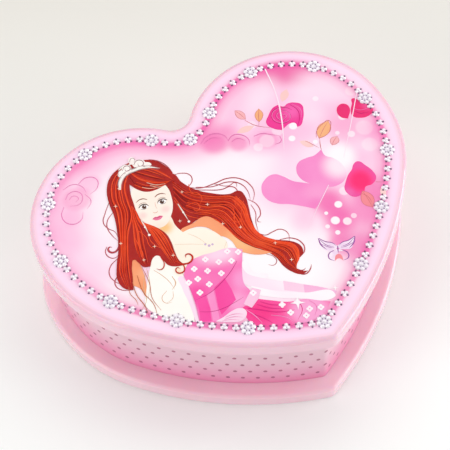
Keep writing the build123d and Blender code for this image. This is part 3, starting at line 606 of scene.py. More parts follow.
def draw_garden():
    """Hearts, roses, leaves and a butterfly behind the girl."""
    lilac = washed("heart_lilac", ink(245, 138, 202), ink(248, 150, 209), (
        (32, 8, 9, 1.0, 1.2, 0, ink(248, 160, 212), 0.9), (42, 21, 11, 0.9, 1.0, 0, ink(254, 230, 244), 1.0),
        (31, 2, 6, 1.0, 1.0, 0, ink(243, 128, 196), 0.8)))
    ink_shape("lilac_heart_left", [
        [(8.0, 11), (9.4, 15.6), (13.6, 18.5), (18, 17), (21.6, 14.6), (26, 13.4), (31, 12.2),
         (36.6, 10.6, 0), (33, 4), (30, 0, 0), (25, 1.6), (19.6, 3.0), (14, 3.8), (9.8, 6.4)]], 1, lilac)
    ink_shape("lilac_heart_right", [
        [(23.6, 20), (24.8, 23.8), (28.5, 25.9), (31.8, 26.9), (35.2, 29.8, 0), (36.6, 26.6), (40, 25),
         (44, 20.6), (44.6, 15), (40, 10.8), (34, 11), (28, 13.2), (24.8, 16)]], 1.1, lilac)
    rose = washed("heart_rose", ink(236, 74, 156), ink(242, 84, 164), (
        (50.6, 12.6, 9, 0.8, 0.9, 20, ink(255, 40, 116), 1.0),
        (45, 7, 4, 1.0, 1.0, 0, ink(240, 110, 180), 0.6)))
    ink_shape("rose_heart", [[
        (43.4, 9), (44.2, 12.6), (45.6, 16), (47.4, 18.6), (48.4, 21.2), (50.4, 22.6), (53.6, 20.2),
        (56.4, 17), (57.4, 13.8), (55.4, 10.6), (52.4, 9.4), (51.6, 7), (49.6, 5.2), (46.8, 4.8),
        (44.6, 6.4)]], 1.3,
              rose)
    inks = [
        washed("leaf_amber", ink(240, 168, 118), ink(246, 180, 130)),
        washed("leaf_rose", ink(246, 172, 180), ink(248, 186, 192)),
        washed("leaf_pale", ink(250, 202, 200), ink(252, 212, 210)),
        washed("leaf_coral", ink(242, 130, 144), ink(246, 146, 156))]
    for number, tone in enumerate(inks):
        shapes = [leaf(*entry[:5]) for entry in LEAVES if entry[5] == number]
        ink_shape(tone.name + "_leaves", shapes, 1.4 + 0.05 * number, tone)
    vein = washed("leaf_vein", ink(214, 112, 118), ink(222, 124, 126))
    veins = []
    for x, y, length, width, turn, kind in LEAVES:
        if kind != 2:
            upper = [(-length, 0), (-length * 0.5, width * 0.8), (length * 0.2, width), (length, 0)]
            lower = [(-length, 0), (-length * 0.5, -width * 0.75), (length * 0.3, -width), (length, 0)]
            veins.append((0.24, moved([(-length, 0), (0, 0.2), (length * 0.9, 0)], x, y, 1.0, turn)))
            veins += [(0.2, moved(upper, x, y, 1.0, turn)), (0.2, moved(lower, x, y, 1.0, turn))]
    stems = [
        (0.34, [(3, 47.6), (7.4, 44.6), (14, 42.8)]), (0.3, [(9.2, 46.4), (9.0, 44.4)]),
        (0.34, [(35.2, 29.6), (35.0, 32.6), (35.0, 35.8)]),
        (0.28, [(28.6, 34.8), (31.6, 32.8), (34.2, 30.8)]),
        (0.4, [(57, 11.6), (60.6, 11.2)]), (0.3, [(50.6, 6.2), (53, 4.4), (54.4, 1.0)]),
        (0.3, [(33.6, 36.2), (34.0, 39.4), (37, 43.2), (39.9, 44.8), (40.2, 41), (38.4, 37.4), (35, 35.9)])]
    ink_lines("leaf_veins", veins + stems, 2.15, vein)
    dark = washed("rose_dark", ink(232, 40, 138), ink(240, 56, 150),
                  ((24, 51, 7, 1.0, 1.0, 0, ink(247, 104, 184), 0.8),))
    ink_shape("garden_rose", [
        [(12.4, 45.2), (13.6, 49.5), (15.8, 53.4), (18, 54.8, 0), (20.6, 53.8), (22.4, 55.2), (25.4, 55.6),
         (28.6, 54.2), (29.2, 50.6), (28.6, 46.2), (27.4, 43.2), (25.8, 42.4, 0), (25.0, 44.6), (22.6, 44.4),
         (20.4, 42.6), (18.8, 41.2, 0), (15.4, 42.2)]], 2, dark)
    ruby = washed("rose_ruby", ink(232, 38, 112), ink(242, 46, 122),
                  ((58, 52, 5, 1.0, 1.0, 0, ink(246, 90, 160), 0.8),))
    ink_shape("ruby_flower", [
        [(50, 49.6), (50.8, 53), (51.2, 55.8), (53.4, 55.2), (55.4, 53), (58.6, 52), (59.8, 49), (57.8, 46.2),
         (53.6, 45.2), (50.6, 46.4)],
        [(43.8, 49.4), (45.2, 52.8), (47.8, 53.2), (49.6, 51), (48.4, 45.2, 0), (45.6, 46)]], 2, ruby)
    fold = washed("petal_fold", ink(206, 22, 112), ink(214, 30, 122))
    edge = washed("petal_edge", ink(248, 124, 190), ink(250, 140, 200))
    folds = petal_lines(19.6, 48.6, 6.6, 40, 0.34) + [
        (0.34, [(23.4, 54.6), (26.6, 51.4), (27, 46.4), (26, 43)]),
        (0.34, [(51.4, 49), (54.4, 47.6), (58, 48.2)])]
    ink_lines("petal_folds", folds, 3, fold)
    ink_lines("petal_edges", petal_lines(19.7, 48.7, 6.0, 62, 0.28) + [
        (0.3, [(24.6, 54.8), (27.8, 52), (28.2, 47.2)]), (0.3, [(51.2, 50.4), (54.6, 49.4), (58.6, 50.6)])],
              3.3, edge)
    blush = washed("round_blush", ink(243, 130, 192), ink(246, 146, 202))
    ink_lines("round_flowers", [
        (0.5, [(-17, 36.4), (-14.4, 40), (-10, 41.4), (-6.4, 40), (-4.6, 37)]),
        (0.4, [(-15.6, 36.6), (-12, 39.2), (-8, 38.8)]),
        (0.5, [(-5, 37.2), (-2.6, 40), (1, 40), (4, 37.4), (4.4, 34)]),
        (0.4, [(-3.4, 36.6), (-0.6, 38.2), (2.6, 36.8)]),
        (0.5, [(6.4, 38.8), (10, 40), (14, 39.2), (17.6, 38.4)]),
        (0.5, [(17.8, 38.2), (18.2, 35.4), (15.2, 33.8)]),
        (0.35, [(-76, 12), (-74.4, 15), (-70.6, 15.6), (-68.6, 12.6), (-70.2, 9.2), (-74, 8.6)]),
        (0.3, [(-74.4, 11.8), (-72.6, 13.6), (-70.4, 12.2), (-71.8, 10.4)]),
        (0.35, [(-77, 17), (-73, 19.4), (-69, 18.2), (-67, 15)]),
        (0.4, [(-70.4, 19.6), (-67, 22.6), (-62.6, 21.4), (-62.4, 17), (-65.4, 14)]),
        (0.35, [(-67.6, 14.2), (-65, 10.6), (-66.6, 6.6)]),
        (0.4, [(-76.6, 8.4), (-77.4, 3.4), (-73.6, -0.4), (-69.2, 1.4), (-68.4, 5.6)])],
        1.2, blush)
    beam = washed("light_beam", ink(254, 226, 243), ink(254, 234, 247))
    ink_shape("light_beams", [
        [(13.5, 75, 0), (14.1, 75, 0), (17.8, 62), (19.5, 48), (19.3, 31, 0), (19.1, 31, 0), (18.9, 48),
         (17.2, 62)],
        [(53.4, 59, 0), (53.8, 59, 0), (49.5, 42, 0), (44.6, 25, 0), (44.5, 25, 0), (49.1, 42, 0)],
        [(36.7, 11.5, 0), (37.0, 11.4, 0), (31.3, 0.6, 0), (26.2, -10, 0), (26.1, -10, 0), (31.0, 0.6, 0)]],
              4, beam)
    wing = washed("wing", ink(240, 214, 240), ink(252, 238, 252), scale=300)
    upper = [(0.3, 0.6, 0), (-1.8, 2.2), (-4.2, 2.8), (-6.8, 4.6, 0), (-6.2, 2), (-4.6, -0.6), (-2.2, -1.4)]
    lower = [(-0.2, -0.4, 0), (-2.6, -1.6), (-3.4, -4), (-1.6, -5.2), (-0.2, -2.4)]
    shapes = [moved(shape, *BUTTERFLY) for wing_shape in (upper, lower)
              for shape in (wing_shape, mirrored(wing_shape))]
    ink_shape("butterfly", shapes, 2, wing)
    violet = washed("wing_edge", ink(150, 78, 160), ink(170, 98, 178))
    ribs = [(0.62, [(-6.7, 4.4), (-6.0, 1.8), (-4.0, -0.6)]), (0.32, [(-6.2, 3.8), (-4.2, 1.6), (-1.2, 0.4)]),
            (0.3, [(-5.6, 1.8), (-3.4, 0.6), (-1.2, 0)]),
            (0.4, [(-6.6, 4.5), (-4.2, 2.9), (-1.8, 2.2), (-0.4, 0.8)]),
            (0.45, [(-1.6, -1), (-3.4, -2.2), (-3.5, -4.2), (-1.7, -5.3)])]
    lines = []
    for width, rib in ribs:
        lines += [(width, moved(rib, *BUTTERFLY)), (width, moved(mirrored(rib), *BUTTERFLY))]
    lines.append((0.6, moved([(0, 0.8), (0, -0.6), (0, -2)], *BUTTERFLY)))
    ink_lines("butterfly_ribs", lines, 3, violet)
    tail = [(-1.6, -5.4, 0), (-0.7, -2.8), (0.7, -2.8), (1.6, -5.4, 0), (0, -4.4)]
    ink_shape("butterfly_tail", [moved(tail, *BUTTERFLY)], 2.5, inks[3])


BLOSSOMS = (
    (-17.5, -21.4), (-12, -23), (-6.7, -22.8), (-22.3, -25.6), (-16.8, -26.9), (-11.2, -28.4), (-21, -30.4),
    (-16.4, -33.2), (-24.8, -31.9), (-20.4, -36.8), (-8.2, -18.2), (-3.7, -18.8), (1.4, -38.4), (12.8, -44.6),
    (16, -48.4), (22.2, -50.2), (23.8, -47.2), (28.4, -46.8), (19, -43.8),
)


def draw_gown():
    """Bodice, skirt, veil and cuff, with their folds and small white blossoms."""
    veil = washed("veil", ink(251, 218, 240), ink(253, 228, 245), (
        (16, -33, 14, 1.0, 1.5, -14, ink(255, 240, 250), 0.9),))
    ink_shape("veil", [[
        (-2.4, -19, 0), (-1.4, -24), (1, -28), (6, -31.4), (12, -33.4), (20, -35.6), (28, -37.4),
        (34.6, -40.4, 0), (26, -41), (14, -39.4), (4, -36.6), (-3, -33), (-5, -26)]], 5, veil)
    panel = washed("veil_panel", ink(250, 208, 233), ink(252, 218, 239))
    ink_shape("veil_panel", [[(14, -33.6, 0), (22.2, -35.8, 0), (22.4, -39.6, 0), (14.2, -38, 0)]], 5.2,
              panel)
    train = washed("veil_train", ink(246, 176, 218), ink(249, 190, 226))
    ink_shape("veil_train", [[(22.2, -35.8, 0), (28.4, -37.3), (35.6, -39.8, 0), (34.6, -41.2, 0),
                              (22.4, -39.6, 0)]], 5.3, train)
    white = washed("veil_light", ink(255, 240, 250), ink(255, 250, 254))
    ink_shape("veil_light", [
        [(0.6, -35, 0), (10, -37.8), (22, -39.6), (34.8, -41.2), (33, -43.2), (22, -42.4), (8, -40.6),
         (2.4, -38.6)],
        [(-1.4, -23), (2, -28.6), (8, -31.2), (4, -31.2), (-1.8, -27.4)]], 5.6, white)
    skirt = washed("skirt", ink(247, 70, 152), ink(250, 84, 162), (
        (24, -48, 11, 0.7, 1.2, 0, ink(249, 166, 214), 1.0),
        (4, -47, 8, 0.9, 1.4, -12, ink(246, 48, 136), 0.9)))
    ink_shape("skirt", [[
        (-3.4, -44.4, 0), (0.6, -43.4), (3, -41.2, 0), (9, -42.4), (15, -43.4), (22, -42.6), (32.6, -44.4, 0),
        (30.6, -48), (26.4, -51.6), (20, -53.6), (8, -54.2), (1.6, -53.4), (-1.8, -50)]], 5.4, skirt)
    fold = washed("skirt_fold", ink(226, 36, 128), ink(234, 46, 138))
    light = washed("skirt_light", ink(250, 138, 198), ink(252, 152, 206))
    ink_lines("skirt_folds", [
        (0.5, [(-1.4, -45.2), (4, -46.4), (11, -47.8), (18, -47.2)]),
        (0.5, [(0, -47.6), (5, -50.2), (9.4, -53.4)]),
        (0.4, [(4, -42.6), (9, -44.4), (14, -44.6)]), (0.35, [(19.2, -43), (20.8, -47), (18.6, -52)]),
        (0.5, [(2.6, -43.8), (8, -45.8), (13.4, -46.4)])], 6.2, fold)
    ink_lines("skirt_lights", [
        (0.5, [(-2, -45.8), (1.6, -49), (4.4, -52.6)]), (0.4, [(8, -49), (14, -50.4), (17.6, -53)]),
        (0.4, [(24, -43.4), (26.6, -46), (25.6, -50.6)])], 7.4, light)
    bodice = washed("bodice", ink(247, 112, 184), ink(250, 128, 192), (
        (-22, -38, 9, 0.9, 1.0, 0, ink(246, 62, 160), 0.8),
        (-3, -32, 8, 0.9, 0.8, 0, ink(248, 158, 212), 0.9),
        (-12, -19, 9, 1.0, 1.8, 8, ink(253, 218, 240), 0.95),
        (-5, -42, 8, 0.9, 0.9, 0, ink(250, 168, 216), 0.8)))
    ink_shape("bodice", [[
        (-26.6, -27.6), (-24.2, -22.4), (-20, -19.8), (-14, -18.2), (-8, -16.6), (-1.8, -17.6, 0),
        (-2.2, -22), (-2.6, -28), (-2.0, -34), (0.4, -37.6), (1.2, -42), (-3, -44.6), (-9, -49),
        (-13.6, -50.6), (-21, -50.4, 0), (-22, -44), (-24, -36), (-25.6, -31.6)]], 9, bodice)
    stripe = washed("bodice_stripe", ink(246, 70, 160), ink(249, 84, 170))
    ink_shape("bodice_stripes", [
        [(-21.8, -39.6, 0), (-18.4, -37.6, 0), (-16.6, -44, 0), (-16.2, -50.2, 0), (-20.8, -50.2, 0),
         (-21, -46, 0)],
        [(-14.4, -34.8, 0), (-10, -30.6, 0), (-7.4, -36, 0), (-5.8, -41, 0), (-9.4, -44.8, 0),
         (-12, -47.6, 0), (-13.2, -44, 0)]], 10, stripe)
    paler = washed("bodice_pale", ink(249, 142, 202), ink(250, 154, 208))
    ink_shape("bodice_panel", [
        [(-17.6, -38.4, 0), (-14.8, -35.8, 0), (-13.6, -44, 0), (-12.8, -50, 0), (-15.6, -50.2, 0),
         (-16.2, -45, 0)]], 10.1, paler)
    ink_shape("bodice_side", [
        [(-28.4, -28.6), (-26, -30.6), (-24.4, -36), (-22.6, -43), (-21.2, -50.2, 0), (-22.6, -50.2, 0),
         (-24.8, -42), (-27.6, -34)]], 10.2, veil)
    seam = washed("bodice_seam", ink(206, 46, 128), ink(214, 56, 138))
    ink_lines("bodice_seams", [
        (0.3, [(-4.4, -23), (-7.4, -28), (-11.6, -33), (-16.6, -37.4), (-22.4, -40.2)]),
        (0.24, [(-21, -45.6), (-16, -45.8), (-11, -44.6), (-6, -42), (-2.6, -40)])], 11, seam)
    cuff = washed("cuff", ink(248, 192, 224), ink(250, 204, 231))
    ink_shape("cuff", [[(1.0, -36, 0), (4.6, -37.2, 0), (3.2, -41.4, 0), (0.4, -45.2, 0), (-2.8, -43.2, 0),
                        (-0.8, -39.4, 0)]], 10.8, cuff)
    glove = washed("glove", ink(252, 214, 236), ink(254, 228, 244))
    ink_shape("glove", [[
        (-14.6, -50.4, 0), (-11, -48.4), (-7.6, -46), (-4.4, -45), (-2.2, -46), (-2.0, -48.6), (-4.2, -50.8),
        (-9, -51)]], 10.4, glove)
    ink_lines("glove_lines", [
        (0.3, [(-10.6, -48.8), (-7, -47.6), (-3.2, -47.8)]),
        (0.3, [(-11, -49.8), (-7.4, -48.8), (-3.4, -49.2)]),
        (0.26, [(-12, -50.4), (-8.4, -50), (-5, -50.4)])], 11.2, light)
    petal = washed("blossom", ink(254, 238, 248), ink(255, 250, 254))
    ink_shape("blossoms", [blossom(x, y, 1.4) for x, y in BLOSSOMS], 12, petal)
    ink_shape("blossom_hearts", [round_outline(x, y, 0.26, points=6) for x, y in BLOSSOMS], 13, paler)


def draw_skin():
    """Shoulders, neck and arm, with the warm shade that the hair throws."""
    shade = washed("skin_shade", ink(245, 150, 104), ink(248, 162, 116), (
        (-3, -14, 7, 1.0, 1.6, -45, ink(252, 196, 140), 0.8),
        (-43, -26, 5, 1.0, 1.0, 0, ink(250, 180, 136), 0.7)))
    ink_shape("skin_shades", [
        [(-27, -7.6), (-22, -3.6), (-16.4, -0.6), (-12, -3), (-8, -7), (-3, -13), (3, -17), (10.4, -20, 0),
         (5, -20.6), (0, -19.6), (-3.4, -17.8), (-6.4, -13), (-9.6, -10.8), (-12.4, -10.4), (-14.4, -7.2),
         (-19, -5.4), (-23, -6)],
        [(-48.2, -19.4), (-46, -19.2), (-44.4, -22.6), (-42.8, -28), (-42.0, -34, 0), (-42.8, -37.2, 0),
         (-44.8, -33.4), (-48, -31.4, 0)],
        [(-35.2, -41, 0), (-33, -42.6), (-31.2, -45.6, 0), (-34.6, -46, 0)]], 8, shade)
    skin = washed("skin", ink(254, 240, 222), ink(255, 246, 232), (
        (-34, -5, 5.5, 1.0, 1.2, 30, ink(248, 192, 116), 0.9),))
    ink_shape("shoulders", [
        [(-40, 2), (-39.4, -6), (-36, -12), (-33, -19), (-29, -24), (-26.8, -27.8, 0), (-24.4, -22.4),
         (-20, -19.8), (-14, -18.2), (-8.4, -16.8), (-8.2, -13.6), (-10, -11.2), (-14.2, -7.6), (-18.6, -6),
         (-22.6, -6), (-26.4, -7.6, 0), (-29.4, -4), (-31, 0), (-34, 4)]], 8.5, skin)
    arm = washed("arm", ink(255, 248, 240), ink(255, 253, 249), (
        (-28, -26, 4, 1.0, 1.0, 0, ink(252, 226, 190), 0.8),
        (-43, -36, 3, 1.0, 0.6, 0, ink(252, 226, 200), 0.5)))
    ink_shape("arm", [
        [(-40.4, -23, 0), (-39.4, -19.6), (-37, -17.6), (-34, -20), (-29, -23.4), (-27, -28), (-26.8, -33),
         (-25.6, -38), (-23.6, -45), (-23, -50, 0), (-31, -48.4), (-40, -44.4), (-42.8, -41), (-42.4, -35),
         (-41.6, -29)]],
              8.7, arm)
    line = washed("skin_line", ink(226, 178, 140), ink(232, 188, 152))
    ink_lines("skin_lines", [
        (0.3, [(-39, -25), (-35.6, -27.8), (-32.4, -31.4), (-30.8, -34.6)]),
        (0.5, [(-31.6, -28.4), (-30.2, -31.8), (-31.8, -34.8)]),
        (0.3, [(-34, -35), (-36, -38.4), (-34.6, -40.6), (-32, -40.4)]),
        (0.24, [(-31.4, -35.4), (-31.6, -38.6), (-34.2, -40.8)]),
        (0.18, [(-24.4, -8.4), (-20.4, -10.6), (-16.6, -14)]),
        (0.14, [(-30, -13.4), (-24, -13.6), (-18, -14.2)]),
        (0.2, [(-8.2, -13.6), (-9.4, -16.6)]),
        (0.3, [(-42.6, -26), (-43.4, -33), (-42.4, -39), (-44.4, -43)]),
        (0.26, [(-42, -24), (-40.8, -31), (-41.6, -38)])], 9.3, line)
    bead = washed("pendant", ink(198, 170, 204), ink(218, 192, 222))
    ink_shape("pendant", [round_outline(-17.2, -14.2, 0.5), round_outline(-15.6, -14.9, 0.6),
                          round_outline(-14.2, -14.4, 0.5)],
              9.6, bead)


FACE_X, FACE_Y, FACE_TURN = -38.4, 6.4, 15.0


def on_face(points):
    """From the face's own axes, nose bridge at 0 and chin at -11.5, to the drawing's."""
    return moved(points, FACE_X, FACE_Y, 1.0, FACE_TURN)


def both_sides(points):
    return [on_face(points), on_face(mirrored(points))]


def draw_face():
    """A calm, plain face: eyes at half the head's height, one eye's width apart."""
    tone = washed("face", ink(255, 240, 228), ink(255, 247, 238), (
        (-43.2, 1.6, 3.0, 1.0, 1.2, 15, ink(252, 200, 200), 0.55),
        (-33.2, 4.2, 3.0, 1.0, 1.2, 15, ink(252, 200, 200), 0.55),
        (-35.6, -4.4, 4, 1.0, 1.6, 15, ink(252, 222, 204), 0.5)))
    half = [(8.3, 6.5), (8.5, 1.5), (7.6, -3.5), (5.2, -7.9), (2.3, -10.9)]
    outline = [(0, 13), (5.4, 11.5)] + half + [(0, -11.5)] + mirrored(list(reversed(half))) + [(-5.4, 11.5)]
    ink_shape("face", [on_face(outline)], 11.4, tone)
    white = washed("eye_white", ink(250, 248, 250), ink(255, 255, 255))
    ink_shape("eye_whites", both_sides([(5.9, 0.5, 0), (4.9, 1.5), (3.6, 1.5), (2.0, 0.3, 0), (3.2, -0.5),
                                        (4.8, -0.5)]), 12, white)
    iris = washed("iris", ink(96, 62, 44), ink(124, 84, 58))
    ink_shape("irises", [on_face(round_outline(side * 3.95, 0.52, 0.94, 0.98)) for side in (-1, 1)], 13, iris)
    dark = washed("lash", ink(52, 26, 24), ink(64, 34, 30))
    ink_shape("pupils", [on_face(round_outline(side * 3.95, 0.52, 0.46)) for side in (-1, 1)], 13.4, dark)
    ink_shape("eye_lights", [on_face(round_outline(side * 3.95 + 0.34, 0.92, 0.24, points=6))
                             for side in (-1, 1)], 13.8, white)
    lash = [(6.3, 0.7), (5.2, 1.62), (3.9, 1.85), (2.6, 1.3), (1.9, 0.3)]
    crease = [(6.0, 1.9), (4.8, 2.6), (3.4, 2.5), (2.4, 1.9)]
    lower = [(5.6, -0.1), (4.4, -0.62), (3.0, -0.4)]
    ink_lines("lashes", [(0.5, line) for line in both_sides(lash)]
              + [(0.16, line) for line in both_sides(lower)], 14, dark)
    brow = washed("brow", ink(150, 74, 52), ink(164, 86, 62))
    ink_lines("brows", [(0.46, line) for line in both_sides([(1.7, 3.7), (3.4, 4.6), (5.2, 4.5), (6.7, 3.6)])]
              + [(0.18, line) for line in both_sides(crease)], 14.4, brow)
    soft = washed("nose_line", ink(236, 178, 154), ink(240, 188, 164))
    ink_lines("nose", [(0.3, on_face([(-1.1, -3.2), (-0.5, -3.75), (0.4, -3.75), (1.1, -3.2)])),
                       (0.2, on_face([(1.1, 1.4), (0.8, -0.6), (1.0, -2.2)]))], 12.6, soft)
    lip = washed("lip", ink(214, 84, 128), ink(220, 96, 138))
    ink_shape("upper_lip", [on_face([(-2.4, -6.4, 0), (-0.9, -5.75), (0, -6.0), (0.9, -5.75), (2.4, -6.4, 0),
                                     (1.0, -6.6), (0, -6.72), (-1.0, -6.6)])], 13, lip)
    lower_lip = washed("lower_lip", ink(234, 122, 158), ink(240, 138, 170))
    ink_shape("lower_lip", [on_face([(-2.3, -6.45, 0), (0, -6.72), (2.3, -6.45, 0), (1.2, -7.4), (0, -7.65),
                                     (-1.2, -7.4)])],
              12.8, lower_lip)


# guide lines that the hair follows, each pair with the same number of points
BACK_UPPER = [(-30, 18.5), (-22, 12.2), (-12, 9.8), (-3, 8.8), (0.4, 4), (2.2, -4), (6, -11), (13, -14.6),
              (20, -17), (21.6, -22), (19.8, -27)]
BACK_LOWER = [(-29.4, 8), (-26, 1.6), (-20, -1.6), (-14, -2), (-9, -6.6), (-4.5, -11.4), (1, -15.4),
              (7, -18.6), (12, -22.2), (15.4, -26.4), (20.6, -29.8)]
LEFT_OUTER = [(-49, 28), (-55.4, 22), (-57, 13), (-54.6, 4), (-53.2, -6), (-52.8, -16), (-53.6, -25),
              (-51, -32)]
LEFT_INNER = [(-48.8, 23), (-50, 16), (-48.6, 9), (-47, 2), (-49, -6), (-49.4, -14), (-49, -23),
              (-48.2, -32.6)]
SHOULDER_OUTER = [(-48, 7), (-47.6, 0), (-47.4, -6), (-47, -12), (-46, -17), (-44.4, -22)]
SHOULDER_INNER = [(-47, 6), (-45.6, -1), (-43.4, -6), (-42.6, -12), (-41.8, -17), (-41, -22)]
CHEST_OUTER = [(-46.6, 5), (-44.6, -1.4), (-41, -5.6), (-38.4, -11), (-35, -16.6), (-32, -22)]
CHEST_INNER = [(-46, 4), (-43.4, -1.6), (-37, -5.2), (-33.4, -9.6), (-31, -16), (-28.4, -22.4)]
FRINGE_TOP = [(-46, 27), (-41, 27.2), (-36, 25.2), (-32, 21.8), (-29.6, 18.8)]
FRINGE_LOW = [(-49, 21), (-47, 16), (-42, 13.8), (-36, 14.8), (-31, 18.2)]

FLYAWAYS = (
    (0.4, [(-57.4, 9), (-59, 4), (-59.8, -0.6), (-57.8, -3.6), (-55, -5.4), (-53.6, -8.4)]),
    (0.4, [(-55.8, 4), (-58, 0.4), (-58.2, -3), (-55.8, -7.6), (-53.8, -9.8)]),
    (0.9, [(-53.4, -9.8), (-53.8, -13.8), (-55.8, -15.4), (-57.8, -14.2), (-57.4, -12.8), (-56.2, -12.8)]),
    (0.4, [(-58.4, -12.4), (-59, -15), (-57.4, -17.6), (-55, -18), (-53.6, -16.6)]),
    (0.4, [(-54, -18.4), (-57, -22), (-57.4, -26), (-55.4, -29), (-52.4, -31)]),
    (0.45, [(-52, -25.8), (-54.8, -28), (-55, -31), (-52.8, -33.2), (-48, -33.8)]),
    (0.42, [(-29, 21.4), (-26, 21.9), (-22.6, 21), (-21.4, 18.4), (-22.2, 16), (-24, 14.4)]),
    (0.35, [(-29.6, 22.2), (-32, 26), (-35.6, 28.8), (-40, 30.2)]),
    (0.5, [(-24, 14.6), (-18, 13.8), (-12, 15.6), (-6, 17.9), (-0.6, 17.2), (3.2, 14), (4.8, 10), (3.8, 5)]),
    (0.45, [(-22, 13.2), (-16, 12.6), (-9, 12.4), (-5, 13.6), (-2.6, 12), (-2.8, 10), (-4.4, 9.8)]),
    (0.45, [(-20, 14.3), (-13, 14.1), (-6, 16), (-1, 14.8), (2, 11), (3, 6.4)]),
    (0.35, [(-12, 15.4), (-6, 14), (-3, 15.4), (-2.4, 13)]),
    (0.4, [(2, 6.6), (5.4, 4), (6.8, -1), (5.4, -4.4), (6.8, -5)]),
    (0.35, [(3, 4), (4.7, 0), (4.6, -5), (5.4, -10)]),
    (0.42, [(5.4, -10.4), (8.4, -11.4), (11, -10.2), (14.6, -9), (17.6, -11), (18, -15)]),
    (0.5, [(14, -14), (19, -13.6), (23, -16), (24, -19.6), (22, -22.6), (20.4, -24)]),
    (0.5, [(17.6, -14.8), (21, -16.6), (21.6, -19.6), (20, -22.6)]),
    (0.5, [(20, -28.4), (22.4, -29.2), (23.8, -28.2)]),
    (0.55, [(19.4, -30), (23.4, -31), (25.6, -28.8), (26.2, -26.6)]),
    (0.3, [(8, -20.5), (11, -22), (12, -24.4), (10.6, -26), (8.4, -25.6)]),
)

CHEST_CURLS = (
    (0.8, [(-30, -21.4), (-26.4, -23), (-23.2, -21.6), (-23.2, -19), (-25.4, -18.6), (-25.6, -20.2)]),
    (0.6, [(-29, -22), (-26.4, -24.2), (-27, -26.8), (-29.6, -26.6), (-29.4, -24.6), (-28, -25)]),
    (0.5, [(-36, -19), (-34.6, -22.6), (-36, -25), (-38, -24.4)]),
)
TENDRILS = (
    (0.4, [(-48, -30), (-46.4, -36), (-43, -41.6), (-41.6, -46)]),
    (0.34, [(-46, -27), (-43.6, -35), (-39.4, -41), (-38, -46.6)]),
    (0.3, [(-44, -23), (-41, -31), (-40, -38), (-36.4, -44)]),
    (0.3, [(-49.6, -32), (-49, -35.4), (-46.6, -38.6), (-45.8, -41)]),
)

CURLS = (
    (0.45, [(-12, 4.4), (-6, 4.2), (-4.2, 1), (-4.4, -3), (-2.8, -4.4), (-1.8, -3), (-2.8, -1.8)]),
    (0.45, [(-24, 5.4), (-21, 6.6), (-18.8, 5), (-19.2, 3), (-21, 2.8), (-21.2, 4)]),
    (0.45, [(-25, 12), (-19, 11), (-17.6, 8), (-18.6, 5.8)]),
    (0.4, [(-23, 16), (-22.4, 12.6), (-20.4, 10.6)]),
    (0.4, [(-15.6, 5.2), (-9, 3.4), (-5, 0.4), (-4, -5), (-1, -10)]),
    (0.4, [(-20.4, 2), (-13, 0), (-8.6, -4), (-5.6, -9.6)]),
    (0.4, [(-1.4, 8), (-3.6, 5.4), (-2.4, 2)]),
    (0.4, [(0, 6), (-1.4, 0), (-1, -6), (2, -12), (8, -16.4), (14, -20)]),
    (0.4, [(-45.4, -5.4), (-42, -9), (-40.6, -13), (-39, -14.4), (-38.4, -13)]),
    (0.4, [(-47, -8), (-45, -13), (-43.4, -17), (-43.4, -20.6)]),
    (0.4, [(-41, -8), (-39.6, -11.6), (-36, -14.6), (-32, -16)]),
)


